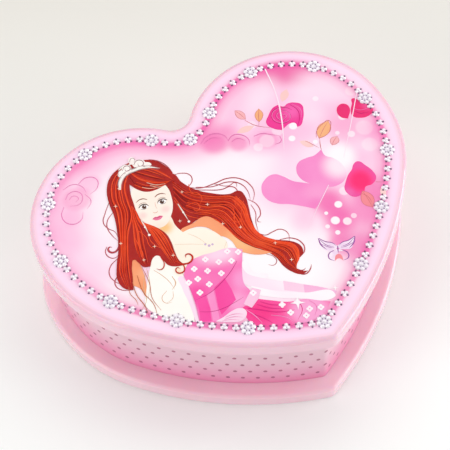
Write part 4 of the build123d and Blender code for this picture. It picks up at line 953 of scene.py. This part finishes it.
def draw_hair():
    """Long waves: deep masses first, then locks that follow their guide lines."""
    deep = washed("hair_deep", ink(158, 14, 10), ink(174, 26, 18), scale=160)
    shadow = washed("hair_shadow", ink(128, 8, 8), ink(142, 14, 12), scale=160)
    middle = washed("hair_middle", ink(200, 42, 22), ink(212, 52, 28), scale=160)
    bright = washed("hair_bright", ink(240, 72, 34), ink(246, 86, 44), scale=160)
    ink_shape("hair_back", [[
        (-36, 18), (-30, 22), (-26, 17.4), (-21, 13.6), (-14, 11), (-6, 9.9), (-1.4, 11.2), (0.8, 8.4),
        (2, 3), (3, -4), (5, -9.6), (9, -13.2), (14, -14.2), (19, -15.2), (22.6, -17.6), (23.2, -21),
        (20.4, -24.4), (19.6, -27), (20.8, -29), (24.6, -29.6, 0), (22, -31), (18, -29.6), (14.6, -26.6),
        (12, -22.6), (8, -19.2), (2, -16.4), (-3.5, -12.5), (-8.5, -6.8), (-12, -3.2), (-16, -1), (-20, -2),
        (-23.5, -5), (-26.4, -7.7), (-29, -4.5), (-31, -0.5), (-31, 4), (-35, 10)]], 6, deep)
    ink_lines("hair_back_shadows", strands(BACK_UPPER, BACK_LOWER, 9, 0.7), 6.7, shadow)
    ink_lines("hair_back_middles", strands(BACK_UPPER, BACK_LOWER, 11, 0.8), 7, middle)
    edge = [(0.9, between(BACK_UPPER, BACK_LOWER, share)[3:]) for share in (0.02, 0.08, 0.16)]
    ink_lines("hair_back_lights", strands(BACK_UPPER, BACK_LOWER, 9, 0.55) + edge + list(CURLS[:8]), 7.3,
              bright)
    wisp = washed("hair_wisp", ink(190, 70, 84), ink(202, 84, 96), scale=160)
    ink_lines("flyaways", FLYAWAYS, 5.8, wisp)
    ink_shape("hair_front", [[
        (-44, 29.6), (-38, 29.4), (-33.4, 26.8), (-30, 22.6), (-28.8, 18.4, 0), (-32.6, 16.6), (-37, 14.2),
        (-41, 13.4), (-45, 14.8), (-48.4, 17.6, 0), (-48, 13), (-46.8, 8), (-45.8, 4), (-45, 1),
        (-43.4, -1.4), (-40, -3.2), (-36.4, -5.2), (-33.4, -8), (-31.4, -12), (-30, -17), (-28.4, -21),
        (-26, -23.4, 0), (-30, -23.9), (-33, -23), (-35.2, -20.2), (-37.2, -18.2), (-39, -19),
        (-40.4, -23.2, 0), (-43.2, -23.2), (-45.4, -21), (-47.2, -19.6), (-48, -22), (-47.8, -28),
        (-47.6, -33.8, 0), (-51, -33), (-54, -29), (-54.4, -22), (-53.6, -14), (-54, -6), (-55.2, 2),
        (-57.4, 9), (-58.2, 16), (-56.6, 22), (-52, 26.8), (-48, 28.9)]], 15, deep)
    families = ((LEFT_OUTER, LEFT_INNER), (SHOULDER_OUTER, SHOULDER_INNER), (CHEST_OUTER, CHEST_INNER),
                (FRINGE_TOP, FRINGE_LOW))
    for layer, (tone, counts, width) in enumerate((
            (shadow, (4, 2, 3, 3), 0.5), (middle, (5, 3, 5, 5), 0.75), (bright, (5, 4, 7, 6), 0.55))):
        locks = list(CURLS[8:]) if tone is bright else []
        for (outer, inner), count in zip(families, counts):
            locks += strands(outer, inner, count, width)
        ink_lines(tone.name + "_locks", locks, 16 + layer, tone)
    ink_lines("chest_curls", CHEST_CURLS, 18.3, middle)
    amber = washed("hair_amber", ink(196, 104, 66), ink(208, 120, 80), scale=160)
    ink_lines("tendrils", TENDRILS, 15.9, amber)
    pale = washed("hair_pale", ink(252, 214, 190), ink(255, 226, 206), scale=160)
    ink_lines("fringe_lights", [
        (0.4, [(-41, 18), (-37, 16.6), (-33, 17)]), (0.34, [(-39.6, 16.4), (-36, 15.4), (-33.4, 16)]),
        (0.34, [(-43, 15.8), (-40, 15), (-37, 15)])], 18.6, pale)
    flash = washed("flash", ink(255, 246, 252), ink(255, 253, 255))
    ink_shape("gown_glint", [spark(19.2, -44.2, 3.2), spark(12.8, -44.6, 1.6), spark(35, -38.4, 1.4)], 14.8,
              flash)
    glints = ((-54.5, 7), (-52.5, -11.4), (-43, -20), (-38.4, -13.8), (-30.8, -18.6), (-26, 12.2),
              (-15.4, 5.2), (-27.4, -2.2), (-9.4, -4.8), (18.2, -24), (-53, 15.8), (-2, -7), (12, -15.6))
    ink_shape("glints", [spark(x, y, 0.95) for x, y in glints], 22, pale)


def draw_jewels():
    """Tiara and drop earrings."""
    silver = washed("tiara", ink(250, 240, 236), ink(255, 253, 248), scale=300)
    line = washed("tiara_line", ink(170, 128, 136), ink(192, 150, 156), scale=300)
    ink_lines("tiara_band", [
        (1.7, [(-52.6, 15.2), (-52.4, 19), (-50.4, 22.6), (-46.4, 24.8), (-41, 25.9), (-35, 25.0)]),
        (0.9, [(-53, 25.2), (-50.4, 27.4), (-48, 27.2)]), (1.0, [(-48.6, 27.6), (-46, 28.6), (-44, 27)])], 19,
              silver)
    leaves = ((-49.6, 25.6, 2.2, 1.9, 40), (-44.2, 28.0, 2.8, 2.1, 10), (-47.2, 29.6, 1.5, 1.9, 10),
              (-52, 23.4, 1.3, 1.9, -20),
              (-40.6, 27.4, 1.9, 1.1, -10))
    for number, entry in enumerate(leaves):
        ink_shape(f"tiara_leaf_{number + 1}", [round_outline(*entry)], 19.4 + 0.2 * number, silver)
    ink_lines("tiara_scrolls", [
        (0.4, [(-51.4, 24.6), (-50.2, 27), (-48.2, 26.6), (-48.4, 24.8), (-50, 24.8), (-50.2, 26)]),
        (0.4, [(-46.4, 27.4), (-45, 29.6), (-42.6, 29.2), (-42.4, 27.2), (-44.2, 26.8), (-44.6, 28.2)]),
        (0.3, [(-48.2, 29), (-47.4, 30.9), (-46, 30.4), (-46.2, 28.8)]),
        (0.3, [(-52.8, 21.8), (-53, 24.4), (-51.6, 25)]),
        (0.24, [(-53.2, 15.4), (-53.2, 19.4), (-51.2, 23), (-46.8, 25.7), (-41, 26.8), (-36, 26)]),
        (0.2, [(-51.8, 15.6), (-51.4, 19), (-49.6, 21.9), (-46, 23.9), (-41, 25), (-35.4, 24.2)])], 21, line)
    drop = washed("earring", ink(250, 226, 214), ink(255, 240, 230), scale=300)
    ink_lines("earrings", [(0.62, [(-43.8, -0.6), (-42, -4.4), (-40.6, -8)]),
                           (0.62, [(-28, 6.4), (-25.8, 2), (-23.6, -2.6)])],
              20.5, drop)
    ink_shape("earring_drops", [round_outline(-40.5, -8.1, 0.55), round_outline(-23.6, -2.7, 0.55),
                                round_outline(-42.2, -4.2, 0.42), round_outline(-25.9, 2, 0.4)], 21.4, silver)


def draw_picture():
    draw_garden()
    draw_gown()
    draw_skin()
    draw_face()
    draw_hair()
    draw_jewels()


# ------------------------------------------------------------------ rhinestone border
GEM_TIP_R = 0.5
GEM_FIRST = 0.0755          # the first flower after the cleft, and the way from one flower to the next, as
GEM_NEXT = 0.131            # shares of half the outline
SMALL_BETWEEN = 5
BORDER_STEP = -2.4          # how far the border stands out from the wall's outer face
LEFT_SWING = 2.2            # on the left it swings out of that line round the lobe and in below it, less and
                            # less towards the tip


def stone(radius, height, sides=8, table=0.5):
    """A low cut stone: girdle, slanting crown facets and a flat table."""
    nothing_selected()
    bpy.ops.mesh.primitive_cone_add(vertices=sides, radius1=radius * MM, radius2=radius * table * MM,
                                    depth=height * MM, location=(0, 0, height / 2 * MM))
    piece = bpy.context.active_object
    bpy.ops.object.transform_apply(location=True)
    mesh = piece.data
    bpy.data.objects.remove(piece)
    return mesh


def placed(mesh, x, y, z, turn=0.0):
    copy = mesh.copy()
    copy.transform(Matrix.Translation((x * MM, y * MM, z * MM)) @ Matrix.Rotation(turn, 4, "Z"))
    return copy


def ring_of(mesh, radius, count, z, first=0.0):
    out = []
    for number in range(count):
        angle = first + 2 * math.pi * number / count
        out.append(placed(mesh, radius * math.cos(angle), radius * math.sin(angle), z, angle))
    return out


def gem_place(side, share):
    """Place and outward turn on the border line, which swings out and in again on the left."""
    step = BORDER_STEP
    if side == -1:
        step += LEFT_SWING * (1 - share) * math.sin(2 * math.pi * share)
    point, outward = along_heart(step, GEM_TIP_R, share)
    angle = math.atan2(outward.y, side * outward.x)
    spot = Matrix.Translation((side * point.x * MM, point.y * MM, HEIGHT * MM))
    return spot @ Matrix.Rotation(angle, 4, "Z")


def gem_places():
    """Flowers at the cleft, the tip and seven times on each side, with small stones between them."""
    flowers, small = [gem_place(1, 0.0), gem_place(1, 1.0)], []
    for side in (-1, 1):
        shares = [GEM_FIRST + GEM_NEXT * number for number in range(7)]
        flowers += [gem_place(side, share) for share in shares]
        small += [gem_place(side, GEM_FIRST * part / 3) for part in (1, 2)]
        for share, after in zip(shares, shares[1:] + [1.0]):
            for number in range(1, SMALL_BETWEEN + 1):
                small.append(gem_place(side, share + (after - share) * number / (SMALL_BETWEEN + 1)))
    return flowers, small


def build_rhinestones():
    crystal = mottled("crystal", ink(236, 224, 242), ink(255, 253, 255), 1500, 0.1, Coat_Weight=0.6,
                      Coat_Roughness=0.02, Specular_IOR_Level=0.7)
    seat = mottled("stone_seat", ink(206, 186, 214), ink(230, 214, 236), 700, 0.3, Metallic=0.2)
    claw = mottled("stone_claw", ink(84, 66, 94), ink(120, 100, 130), 700, 0.3, Metallic=0.3)
    fine_claw = mottled("flower_claw", ink(132, 112, 142), ink(168, 148, 178), 700, 0.3, Metallic=0.3)
    flowers, small = gem_places()
    petal, heart_stone = stone(1.1, 0.62, 7, 0.42), stone(1.16, 0.8, 7, 0.42)
    stones = ring_of(petal, 2.3, 7, 0.12) + [placed(heart_stone, 0, 0, 0.14)]
    seats = [placed(stone(2.7, 0.12, 21, 0.97), 0, 0, 0)]
    claws = ring_of(stone(0.26, 0.46, 6, 0.6), 1.4, 7, 0.0, math.pi / 7)
    claws += ring_of(stone(0.32, 0.4, 6, 0.6), 3.05, 7, 0.0, math.pi / 7)
    trio = ring_of(stone(0.86, 0.5, 7, 0.42), 0.84, 3, 0.1, math.pi)
    dots = ring_of(stone(0.44, 0.4, 6, 0.6), 1.5, 3, 0.0)
    small_seat = [placed(stone(0.8, 0.1, 12, 0.9), 0, 0, 0.0)]
    for name, masters, places, material in (
            ("flower_stones", stones, flowers, crystal), ("flower_seats", seats, flowers, seat),
            ("flower_claws", claws, flowers, fine_claw), ("border_stones", trio, small, crystal),
            ("border_claws", dots, small, claw), ("border_seats", small_seat, small, seat)):
        copies(name, masters, places, material, "lid")


# ------------------------------------------------------------------ dotted wrap round the wall
DOT_R = 0.88
DOT_T = 0.02                # half of this stands out of the paper
DOT_PITCH = 6.5
DOT_ROWS = 6
DOT_ROW_PITCH = 6.36
DOT_TOP = 45.1
NOTCH_HALF = 8.0            # the paper is cut away this far each side of a hinge's middle,
NOTCH_DEEP = 6.3            # and this far below the lid


def in_notch(x, y, height):
    """True for a dot that would lie where the paper is cut away round a hinge."""
    near = abs(abs(x) - LOBE_C.x) < NOTCH_HALF + DOT_R and y > HEART_Y + LOBE_R - NOTCH_HALF
    return near and height > LID_BOTTOM - NOTCH_DEEP - DOT_R


def dot_places():
    """Staggered rows of dots, evenly spaced along the wall from the tip."""
    length = half_length(WRAP_T, WRAP_TIP_R)
    places = []
    count = round(length / DOT_PITCH)
    for row in range(DOT_ROWS):
        height = DOT_TOP - row * DOT_ROW_PITCH
        shift = 0.5 * (row % 2)
        for side in (-1, 1):
            for number in range(count + 1):
                share = 1 - (number + shift) / count
                if share < 0 or (side == 1 and number + shift in (0, count)):
                    continue
                point, outward = along_heart(WRAP_T, WRAP_TIP_R, share)
                if in_notch(point.x, point.y, height):
                    continue
                angle = math.atan2(outward.y, side * outward.x)
                spot = Vector((side * point.x, point.y, height))
                turn = Matrix.Rotation(angle, 4, "Z") @ Matrix.Rotation(math.pi / 2, 4, "Y")
                places.append(Matrix.Translation(spot * MM) @ turn)
    return places


def build_wall_dots():
    nothing_selected()
    bpy.ops.mesh.primitive_cylinder_add(vertices=14, radius=DOT_R * MM, depth=DOT_T * MM)
    dot = bpy.context.active_object
    mesh = dot.data
    bpy.data.objects.remove(dot)
    rose = mottled("dot_ink", ink(168, 84, 118), ink(184, 98, 132), 300, 0.35, Coat_Weight=0.3)
    piece = copies("wall_dots", [mesh], dot_places(), rose, "box")


def wrap_material():
    """Laminated paper, pale and greyish at the top, with a painted reflection of the pink base: the pink
    grows stronger towards the bottom.
    """
    material, tree, shader = shader_of("wrap_paper", ink(236, 196, 208), 0.35, Coat_Weight=0.25,
                                       Coat_Roughness=0.2)
    place = object_place(tree)
    split = tree.nodes.new("ShaderNodeSeparateXYZ")
    tree.links.new(place, split.inputs["Vector"])
    height = rescaled(tree, split.outputs["Z"], WRAP_LOW * MM, WRAP_HIGH * MM)
    # painted reflection: the stronger pink low on the wall stands in for light thrown up onto it from the
    # pink base
    colour = ramp(tree, height, [
        (0.0, ink(240, 140, 184)), (0.18, ink(238, 164, 196)), (0.5, ink(236, 190, 208)),
        (1.0, ink(234, 200, 212))])
    tree.links.new(colour, shader.inputs["Base Color"])
    bump(tree, shader, noise(tree, place, 1400, 4.0), 1.0, 0.004 * MM)
    return material


# ------------------------------------------------------------------ finishes of the moulded and metal parts
def brushed(name, dark, light, roughness, grain, scale=60, bump_mm=0.002):
    """Bare metal with fine marks; the grain gives how much finer they are along each axis."""
    material, tree, shader = shader_of(name, light, roughness, Metallic=1.0)
    mapping = node(tree, "ShaderNodeMapping", Scale=grain)
    tree.links.new(object_place(tree), mapping.inputs["Vector"])
    marks = noise(tree, mapping.outputs["Vector"], scale, 4.0, 0.7)
    tree.links.new(ramp(tree, marks, [(0.3, dark), (0.7, light)]), shader.inputs["Base Color"])
    bump(tree, shader, marks, 1.0, bump_mm * MM)
    return material


def flocked(name, dark, light):
    """Short dense pile: a fine grain, a soft nap that drifts, and a pale sheen at grazing angles."""
    material, tree, shader = shader_of(name, light, 1.0, Sheen_Weight=0.7, Sheen_Roughness=0.45,
                                       Specular_IOR_Level=0.1)
    place = object_place(tree)
    nap = noise(tree, place, 70, 3.0)
    tree.links.new(ramp(tree, nap, [(0.3, dark), (0.7, light)]), shader.inputs["Base Color"])
    bump(tree, shader, noise(tree, place, 3200, 4.0, 0.8), 1.0, 0.06 * MM)
    return material


def paint_cad():
    """Every part that is shown as it was modelled."""
    satin = mottled("pink_satin", ink(244, 180, 208), ink(248, 192, 217), 24, 0.34, 0.004, 700,
                    Coat_Weight=0.15, Coat_Roughness=0.2)
    board = mottled("cover_board", ink(206, 150, 168), ink(220, 166, 182), 60, 0.8, 0.03, 1600)
    mirror = mottled("mirror_glass", ink(232, 236, 240), ink(240, 243, 246), 12, 0.02, Metallic=1.0)
    flock = flocked("flock", ink(214, 84, 138), ink(228, 104, 154))
    steel = brushed("bright_steel", ink(176, 178, 184), ink(214, 216, 220), 0.28, (1, 1, 14))
    turned_steel = brushed("turned_steel", ink(170, 172, 178), ink(208, 210, 214), 0.24, (1, 16, 1))
    gold = brushed("gold_plate", ink(206, 160, 84), ink(238, 198, 116), 0.18, (1, 3, 6))
    brass = brushed("turned_brass", ink(188, 148, 78), ink(220, 182, 104), 0.26, (1, 1, 18))
    drum_brass = brushed("drum_brass", ink(190, 150, 80), ink(222, 184, 106), 0.26, (1, 18, 1))
    blued = brushed("blued_steel", ink(74, 82, 104), ink(110, 118, 138), 0.3, (1, 1, 20))
    ground = brushed("ground_steel", ink(150, 152, 160), ink(196, 198, 204), 0.34, (14, 1, 1))
    cast = mottled("cast_bed", ink(128, 128, 134), ink(154, 154, 160), 90, 0.5, 0.05, 900, Metallic=0.85)
    nylon = mottled("white_nylon", ink(228, 228, 222), ink(240, 240, 236), 40, 0.45, 0.006, 900,
                    Subsurface_Weight=0.2, Subsurface_Scale=0.001)
    finishes = (
        (PINK_RIM, ("lid_shell",)), (PINK_BASE, ("base_plinth",)), (wrap_material(), ("side_wrap",)),
        (satin, ("box_shell", "lid_liner")), (board, ("bottom_cover",)),
        (mirror, ("lid_mirror", "stage_mirror")),
        (flock, ("jewel_tray",)), (nylon, ("turntable", "drive_pinion", "cylinder_wheel", "train_pinion",
                                           "worm_wheel",
                                           "governor_fan", "stop_plunger")),
        (gold, ("winding_key", "hinge_pin_left", "hinge_pin_right")),
        (steel, ("cover_screws", "fold_pin", "winding_arbor", "comb_screws", "movement_screws",
                 "governor_worm",
                 "governor_bridge", "stop_guide")),
        (turned_steel, ("front_bearing", "end_plate", "cylinder_shaft", "train_shaft")),
        (brass, ("spring_barrel", "barrel_cap")), (drum_brass, ("pinned_cylinder",)),
        (blued, ("mainspring", "click_spring", "stop_spring")), (ground, ("comb",)), (cast, ("bedplate",)),
        (skin_paint(), ("dancer_leg",)))
    for finish, names in finishes:
        for name in names:
            paint_node(name, finish)


# ------------------------------------------------------------------ ring rolls
ROLL_PLEATS = 14


def grown(name, profile, sides):
    """A round shape drawn up from a disc: each next height and radius is one extrusion, then a resize."""
    nothing_selected()
    height, radius = profile[0]
    bpy.ops.mesh.primitive_circle_add(vertices=sides, radius=radius, fill_type="NGON",
                                      location=(0, 0, height))
    piece = bpy.context.active_object
    piece.name = name
    bpy.ops.object.transform_apply(location=True)
    bpy.ops.object.mode_set(mode="EDIT")
    bpy.ops.mesh.select_all(action="SELECT")
    for next_height, next_radius in profile[1:]:
        bpy.ops.mesh.extrude_region_move(TRANSFORM_OT_translate={"value": (0, 0, next_height - height)})
        share = next_radius / radius
        bpy.ops.transform.resize(value=(share, share, 1), center_override=(0, 0, next_height))
        height, radius = next_height, next_radius
    bpy.ops.mesh.select_all(action="SELECT")
    bpy.ops.mesh.normals_make_consistent(inside=False)
    bpy.ops.object.mode_set(mode="OBJECT")
    return piece


def subdivided(piece, levels):
    only(piece)
    modifier = piece.modifiers.new("smooth", "SUBSURF")
    modifier.levels = modifier.render_levels = levels
    bpy.ops.object.modifier_apply(modifier=modifier.name)
    bpy.ops.object.shade_smooth()


def finished(piece, place, material, body):
    """Scales from millimetres, puts the mesh in its place and leaves the object at the origin."""
    piece.data.transform(place @ Matrix.Scale(MM, 4))
    piece.data.update()
    piece.data.materials.clear()
    piece.data.materials.append(material)
    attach(piece, body)


def build_ring_rolls():
    """Foam under flocked cloth: crowned, with the cloth gathered into each round end and one seam."""
    flock = flocked("flock_roll", ink(216, 88, 142), ink(230, 108, 158))
    for number in (1, 2, 3):
        node_name = f"ring_roll_{number}"
        low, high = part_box(node_name)
        length, radius = (high.x - low.x) / MM, (high.z - low.z) / MM / 2
        half = length / 2
        ends = [(-half + 0.05, 0.5), (-half, 1.2), (-half + 0.12, 2.2), (-half + 0.6, radius * 0.9),
                (-half + 1.5, radius * 0.975)]
        middle = [(-half + length * share, radius * (0.985 + 0.015 * math.sin(math.pi * share))) for share in
                  (0.12, 0.25, 0.4, 0.5, 0.6, 0.75, 0.88)]
        profile = ends + middle + [(-height, reach) for height, reach in reversed(ends)]
        piece = grown(f"soft_roll_{number}", profile, 28)
        for vertex in piece.data.vertices:
            angle = math.atan2(vertex.co.y, vertex.co.x)
            near_end = max(0.0, 1 - (half - abs(vertex.co.z)) / 1.6)
            out = 1 - 0.05 * near_end * (1 + math.cos(ROLL_PLEATS * angle))
            seam = math.exp(-((angle + math.pi / 2) / 0.16) ** 2)
            ripple = 0.012 * math.sin(vertex.co.z * 1.3 + number) * math.cos(2 * angle + number)
            vertex.co.x *= out - 0.05 * seam - abs(ripple)
            vertex.co.y *= out - 0.05 * seam - abs(ripple)
        subdivided(piece, 2)
        middle_point = (low + high) / 2
        place = Matrix.Translation(middle_point) @ Matrix.Rotation(math.pi / 2, 4, "Y")
        finished(piece, place, flock, "box")
        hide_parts(node_name)


# ------------------------------------------------------------------ folding figure
AXIS_Y = (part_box("turntable")[0].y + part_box("turntable")[1].y) / 2 / MM
FIGURE_Z = (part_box("fold_pin")[0].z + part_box("fold_pin")[1].z) / 2 / MM
# the figure is shaped standing, facing -Y, with its fold pin at the origin; closed, it lies towards the tip
FOLDED = Matrix.Translation((0, AXIS_Y * MM, FIGURE_Z * MM)) @ Matrix.Rotation(math.pi / 2, 4, "X")


def skin_paint():
    return mottled("skin_paint", ink(244, 200, 176), ink(250, 212, 190), 200, 0.32, Subsurface_Weight=0.2,
                   Subsurface_Scale=0.0006)


def shaped_ball(name, place, size, segments=20, rings=12):
    """A ball set in its place and drawn out along its axes."""
    nothing_selected()
    bpy.ops.mesh.primitive_uv_sphere_add(segments=segments, ring_count=rings, radius=1.0)
    piece = bpy.context.active_object
    piece.name = name
    piece.data.transform(Matrix.Translation(place) @ Matrix.Diagonal((*size, 1.0)))
    bpy.ops.object.shade_smooth()
    return piece


def joined(name, pieces):
    nothing_selected()
    for piece in pieces:
        piece.select_set(True)
    bpy.context.view_layer.objects.active = pieces[0]
    if len(pieces) > 1:
        bpy.ops.object.join()
    pieces[0].name = name
    return pieces[0]


def limb(name, points, widths):
    """A tapering rounded limb along a smooth line."""
    curve = bpy.data.curves.new(name, "CURVE")
    curve.dimensions = "3D"
    curve.bevel_depth = 1.0
    curve.bevel_resolution = 3
    curve.resolution_u = 10
    curve.use_fill_caps = True
    spline = curve.splines.new("BEZIER")
    spline.bezier_points.add(len(points) - 1)
    for knot, point, width in zip(spline.bezier_points, points, widths):
        knot.co = point
        knot.radius = width
        knot.handle_left_type = knot.handle_right_type = "AUTO"
    return as_mesh(name, curve)


def build_dancer():
    gown_paint = mottled("gown_paint", ink(238, 120, 172), ink(246, 146, 190), 160, 0.22, 0.003, 900,
                         Coat_Weight=0.4, Coat_Roughness=0.1)
    profile = [(6.0, 4.75), (6.25, 4.95), (7.2, 4.75), (9, 4.05), (11.5, 3.05), (14, 2.2), (16, 1.62),
               (17, 1.45), (18, 1.62), (19.4, 2.0), (20.3, 2.05), (20.8, 1.75), (21.0, 1.2)]
    gown = grown("dancer_dress", profile, 48)
    for vertex in gown.data.vertices:
        angle = math.atan2(vertex.co.y, vertex.co.x)
        skirt = max(0.0, min(1.0, (16 - vertex.co.z) / 8))
        wave = 1 + 0.045 * skirt * math.cos(12 * angle) - 0.02 * skirt
        chest = max(0.0, 1 - abs(vertex.co.z - 19.6) / 1.8) * max(0.0, -math.sin(angle))
        vertex.co.x *= wave
        vertex.co.y *= wave * (0.9 - 0.14 * (1 - skirt)) + 0.12 * chest
    subdivided(gown, 2)
    sash = grown("sash", [(16.3, 1.35), (16.4, 1.62), (17.0, 1.6), (17.5, 1.66), (17.6, 1.4)], 32)
    sash.data.transform(Matrix.Diagonal((1.03, 0.84, 1, 1)))
    subdivided(sash, 1)
    straps = [limb("strap", [(side * 1.3, -0.9, 20.3), (side * 1.35, -0.2, 21.5), (side * 1.2, 0.9, 20.4)],
                   (0.16, 0.16, 0.16))
              for side in (-1, 1)]
    gown = joined("dancer_dress", [gown, sash] + straps)
    finished(gown, FOLDED, gown_paint, "figure")
    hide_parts("dancer_gown")

    skin = skin_paint()
    neck = grown("neck", [(20.6, 1.7), (21.2, 1.5), (21.6, 0.85), (22.4, 0.68), (23.4, 0.72)], 20)
    neck.data.transform(Matrix.Diagonal((1.0, 0.72, 1, 1)))
    subdivided(neck, 1)
    skull = shaped_ball("skull", (0, -0.02, 24.6), (1.42, 1.6, 1.9), 28, 18)
    for vertex in skull.data.vertices:
        drop = max(0.0, (24.2 - vertex.co.z) / 1.6)
        vertex.co.x *= 1 - 0.3 * drop
        if vertex.co.y > 0:
            vertex.co.y *= 1 - 0.35 * drop
    nose = shaped_ball("nose", (0, -1.6, 24.35), (0.13, 0.2, 0.26), 10, 8)
    head = joined("dancer_face", [neck, skull, nose])
    finished(head, FOLDED, skin, "figure")
    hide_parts("dancer_head")

    hair_paint = mottled("hair_paint", ink(142, 38, 26), ink(170, 54, 36), 260, 0.3, 0.02, 1500)
    cap = shaped_ball("cap", (0, 0.22, 24.95), (1.56, 1.62, 1.86), 28, 18)
    for vertex in cap.data.vertices:
        if vertex.co.y < 0 and vertex.co.z < 25.5:
            vertex.co.y *= 0.15
    knot = shaped_ball("knot", (0, 0.9, 26.7), (0.85, 0.85, 0.75))
    band = shaped_ball("band", (0, 0.72, 26.25), (0.72, 0.72, 0.3))
    hair = joined("dancer_hair", [cap, knot, band])
    finished(hair, FOLDED, hair_paint, "figure")

    dark = mottled("eye_paint", ink(58, 34, 30), ink(76, 46, 38), 400, 0.3)
    marks = []
    for side in (-1, 1):
        marks.append(shaped_ball("eye", (side * 0.52, -1.46, 24.75), (0.2, 0.1, 0.11), 12, 8))
        marks.append(limb("brow", [(side * 0.3, -1.5, 25.1), (side * 0.55, -1.44, 25.22),
                                   (side * 0.82, -1.28, 25.08)],
                          (0.04, 0.05, 0.03)))
    eyes = joined("dancer_eyes", marks)
    finished(eyes, FOLDED, dark, "figure")
    rose = mottled("lip_paint", ink(196, 70, 96), ink(210, 86, 110), 400, 0.3)
    lips = joined("dancer_lips", [shaped_ball("upper", (0, -1.48, 23.87), (0.3, 0.09, 0.07), 12, 8),
                                  shaped_ball("lower", (0, -1.45, 23.77), (0.24, 0.1, 0.08), 12, 8)])
    finished(lips, FOLDED, rose, "figure")

    arms = []
    for side in (-1, 1):
        arms.append(limb("arm", [(side * 1.5, 0, 20.9), (side * 2.5, -0.2, 22.0), (side * 3.6, -0.3, 24.2),
                                 (side * 2.8, -0.2, 27.2),
                                 (side * 1.0, -0.1, 29.1)], (0.6, 0.52, 0.46, 0.38, 0.28)))
        arms.append(shaped_ball("hand", (side * 0.75, -0.1, 29.25), (0.42, 0.16, 0.26), 12, 8))
        arms.append(shaped_ball("shoulder", (side * 1.45, 0, 20.95), (0.66, 0.6, 0.6), 14, 10))
    arms = joined("dancer_limbs", arms)
    only(arms)
    bpy.ops.object.shade_smooth()
    finished(arms, FOLDED, skin, "figure")
    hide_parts("dancer_arms")


# ------------------------------------------------------------------ camera, light and floor
CAMERA_TURN = -0.5004       # radians round the object, from straight in front
CAMERA_RISE = 1.0369
CAMERA_ROLL = -0.0608
CAMERA_REACH = 629.1
CAMERA_TARGET = Vector((1.08, 19.65, 16.6))
LENS = 110.82


def build_camera():
    cos, sin = math.cos(CAMERA_TURN), math.sin(CAMERA_TURN)
    back = Vector((sin * math.cos(CAMERA_RISE), -cos * math.cos(CAMERA_RISE), math.sin(CAMERA_RISE)))
    right = Vector((cos, sin, 0))
    up = back.cross(right)
    across = right * math.cos(CAMERA_ROLL) + up * math.sin(CAMERA_ROLL)
    above = up * math.cos(CAMERA_ROLL) - right * math.sin(CAMERA_ROLL)
    data = bpy.data.cameras.new("camera")
    data.lens = LENS
    data.sensor_width = 36.0
    data.clip_start, data.clip_end = 0.01, 20.0
    camera = bpy.data.objects.new("camera", data)
    bpy.context.scene.collection.objects.link(camera)
    place = Matrix((across, above, back)).transposed().to_4x4()
    place.translation = (CAMERA_TARGET + back * CAMERA_REACH) * MM
    camera.matrix_world = place
    bpy.context.scene.camera = camera


def area_light(name, place, target, size, power, colour=(1, 1, 1)):
    data = bpy.data.lights.new(name, "AREA")
    data.shape = "RECTANGLE"
    data.size, data.size_y = size
    data.energy = power
    data.color = colour
    light = bpy.data.objects.new(name, data)
    bpy.context.scene.collection.objects.link(light)
    direction = (Vector(target) - Vector(place)).normalized()
    light.rotation_euler = direction.to_track_quat("-Z", "Y").to_euler()
    light.location = place


# painted shade: the floor goes from near white to a warm grey between these two distances, in metres, darker
# towards the back where less light falls
FLOOR_NEAR = -0.05
FLOOR_FAR = 0.20


def build_studio():
    world = bpy.data.worlds.new("studio")
    bpy.context.scene.world = world
    world.use_nodes = True
    background = world.node_tree.nodes["Background"]
    background.inputs["Color"].default_value = (1.0, 0.985, 0.97, 1)
    background.inputs["Strength"].default_value = 0.53
    area_light("overhead", (0.15, 0.45, 1.0), (0, 0, 0.03), (1.2, 0.8), 4.2, (1.0, 0.985, 0.97))
    area_light("left_window", (-1.0, 0.0, 0.5), (0, 0, 0.03), (0.9, 0.6), 3.8, (1.0, 0.98, 0.96))
    area_light("right_window", (0.95, -0.5, 0.35), (0, 0, 0.03), (0.9, 0.5), 7.0, (1.0, 0.98, 0.97))
    nothing_selected()
    bpy.ops.mesh.primitive_plane_add(size=6.0, location=(0, 0, -0.0001))
    floor = bpy.context.active_object
    floor.name = "floor"
    material, tree, shader = shader_of("floor", ink(250, 248, 245), 0.55)
    split = tree.nodes.new("ShaderNodeSeparateXYZ")
    tree.links.new(picture_place(tree), split.inputs["Vector"])
    # painted shade: the floor's colour greys away from the camera, standing in for the light falling off
    # towards the back
    depth = rescaled(tree, split.outputs["Y"], FLOOR_NEAR, FLOOR_FAR)
    colour = ramp(tree, depth, [(0.0, ink(251, 255, 254)), (1.0, ink(226, 224, 217))])
    tree.links.new(colour, shader.inputs["Base Color"])
    floor.data.materials.append(material)


# ------------------------------------------------------------------ build
bpy.context.scene.view_settings.view_transform = "Standard"
build_camera()
build_studio()
paint_cad()
build_lid_print()
draw_picture()
build_rhinestones()
build_wall_dots()
build_ring_rolls()
build_dancer()
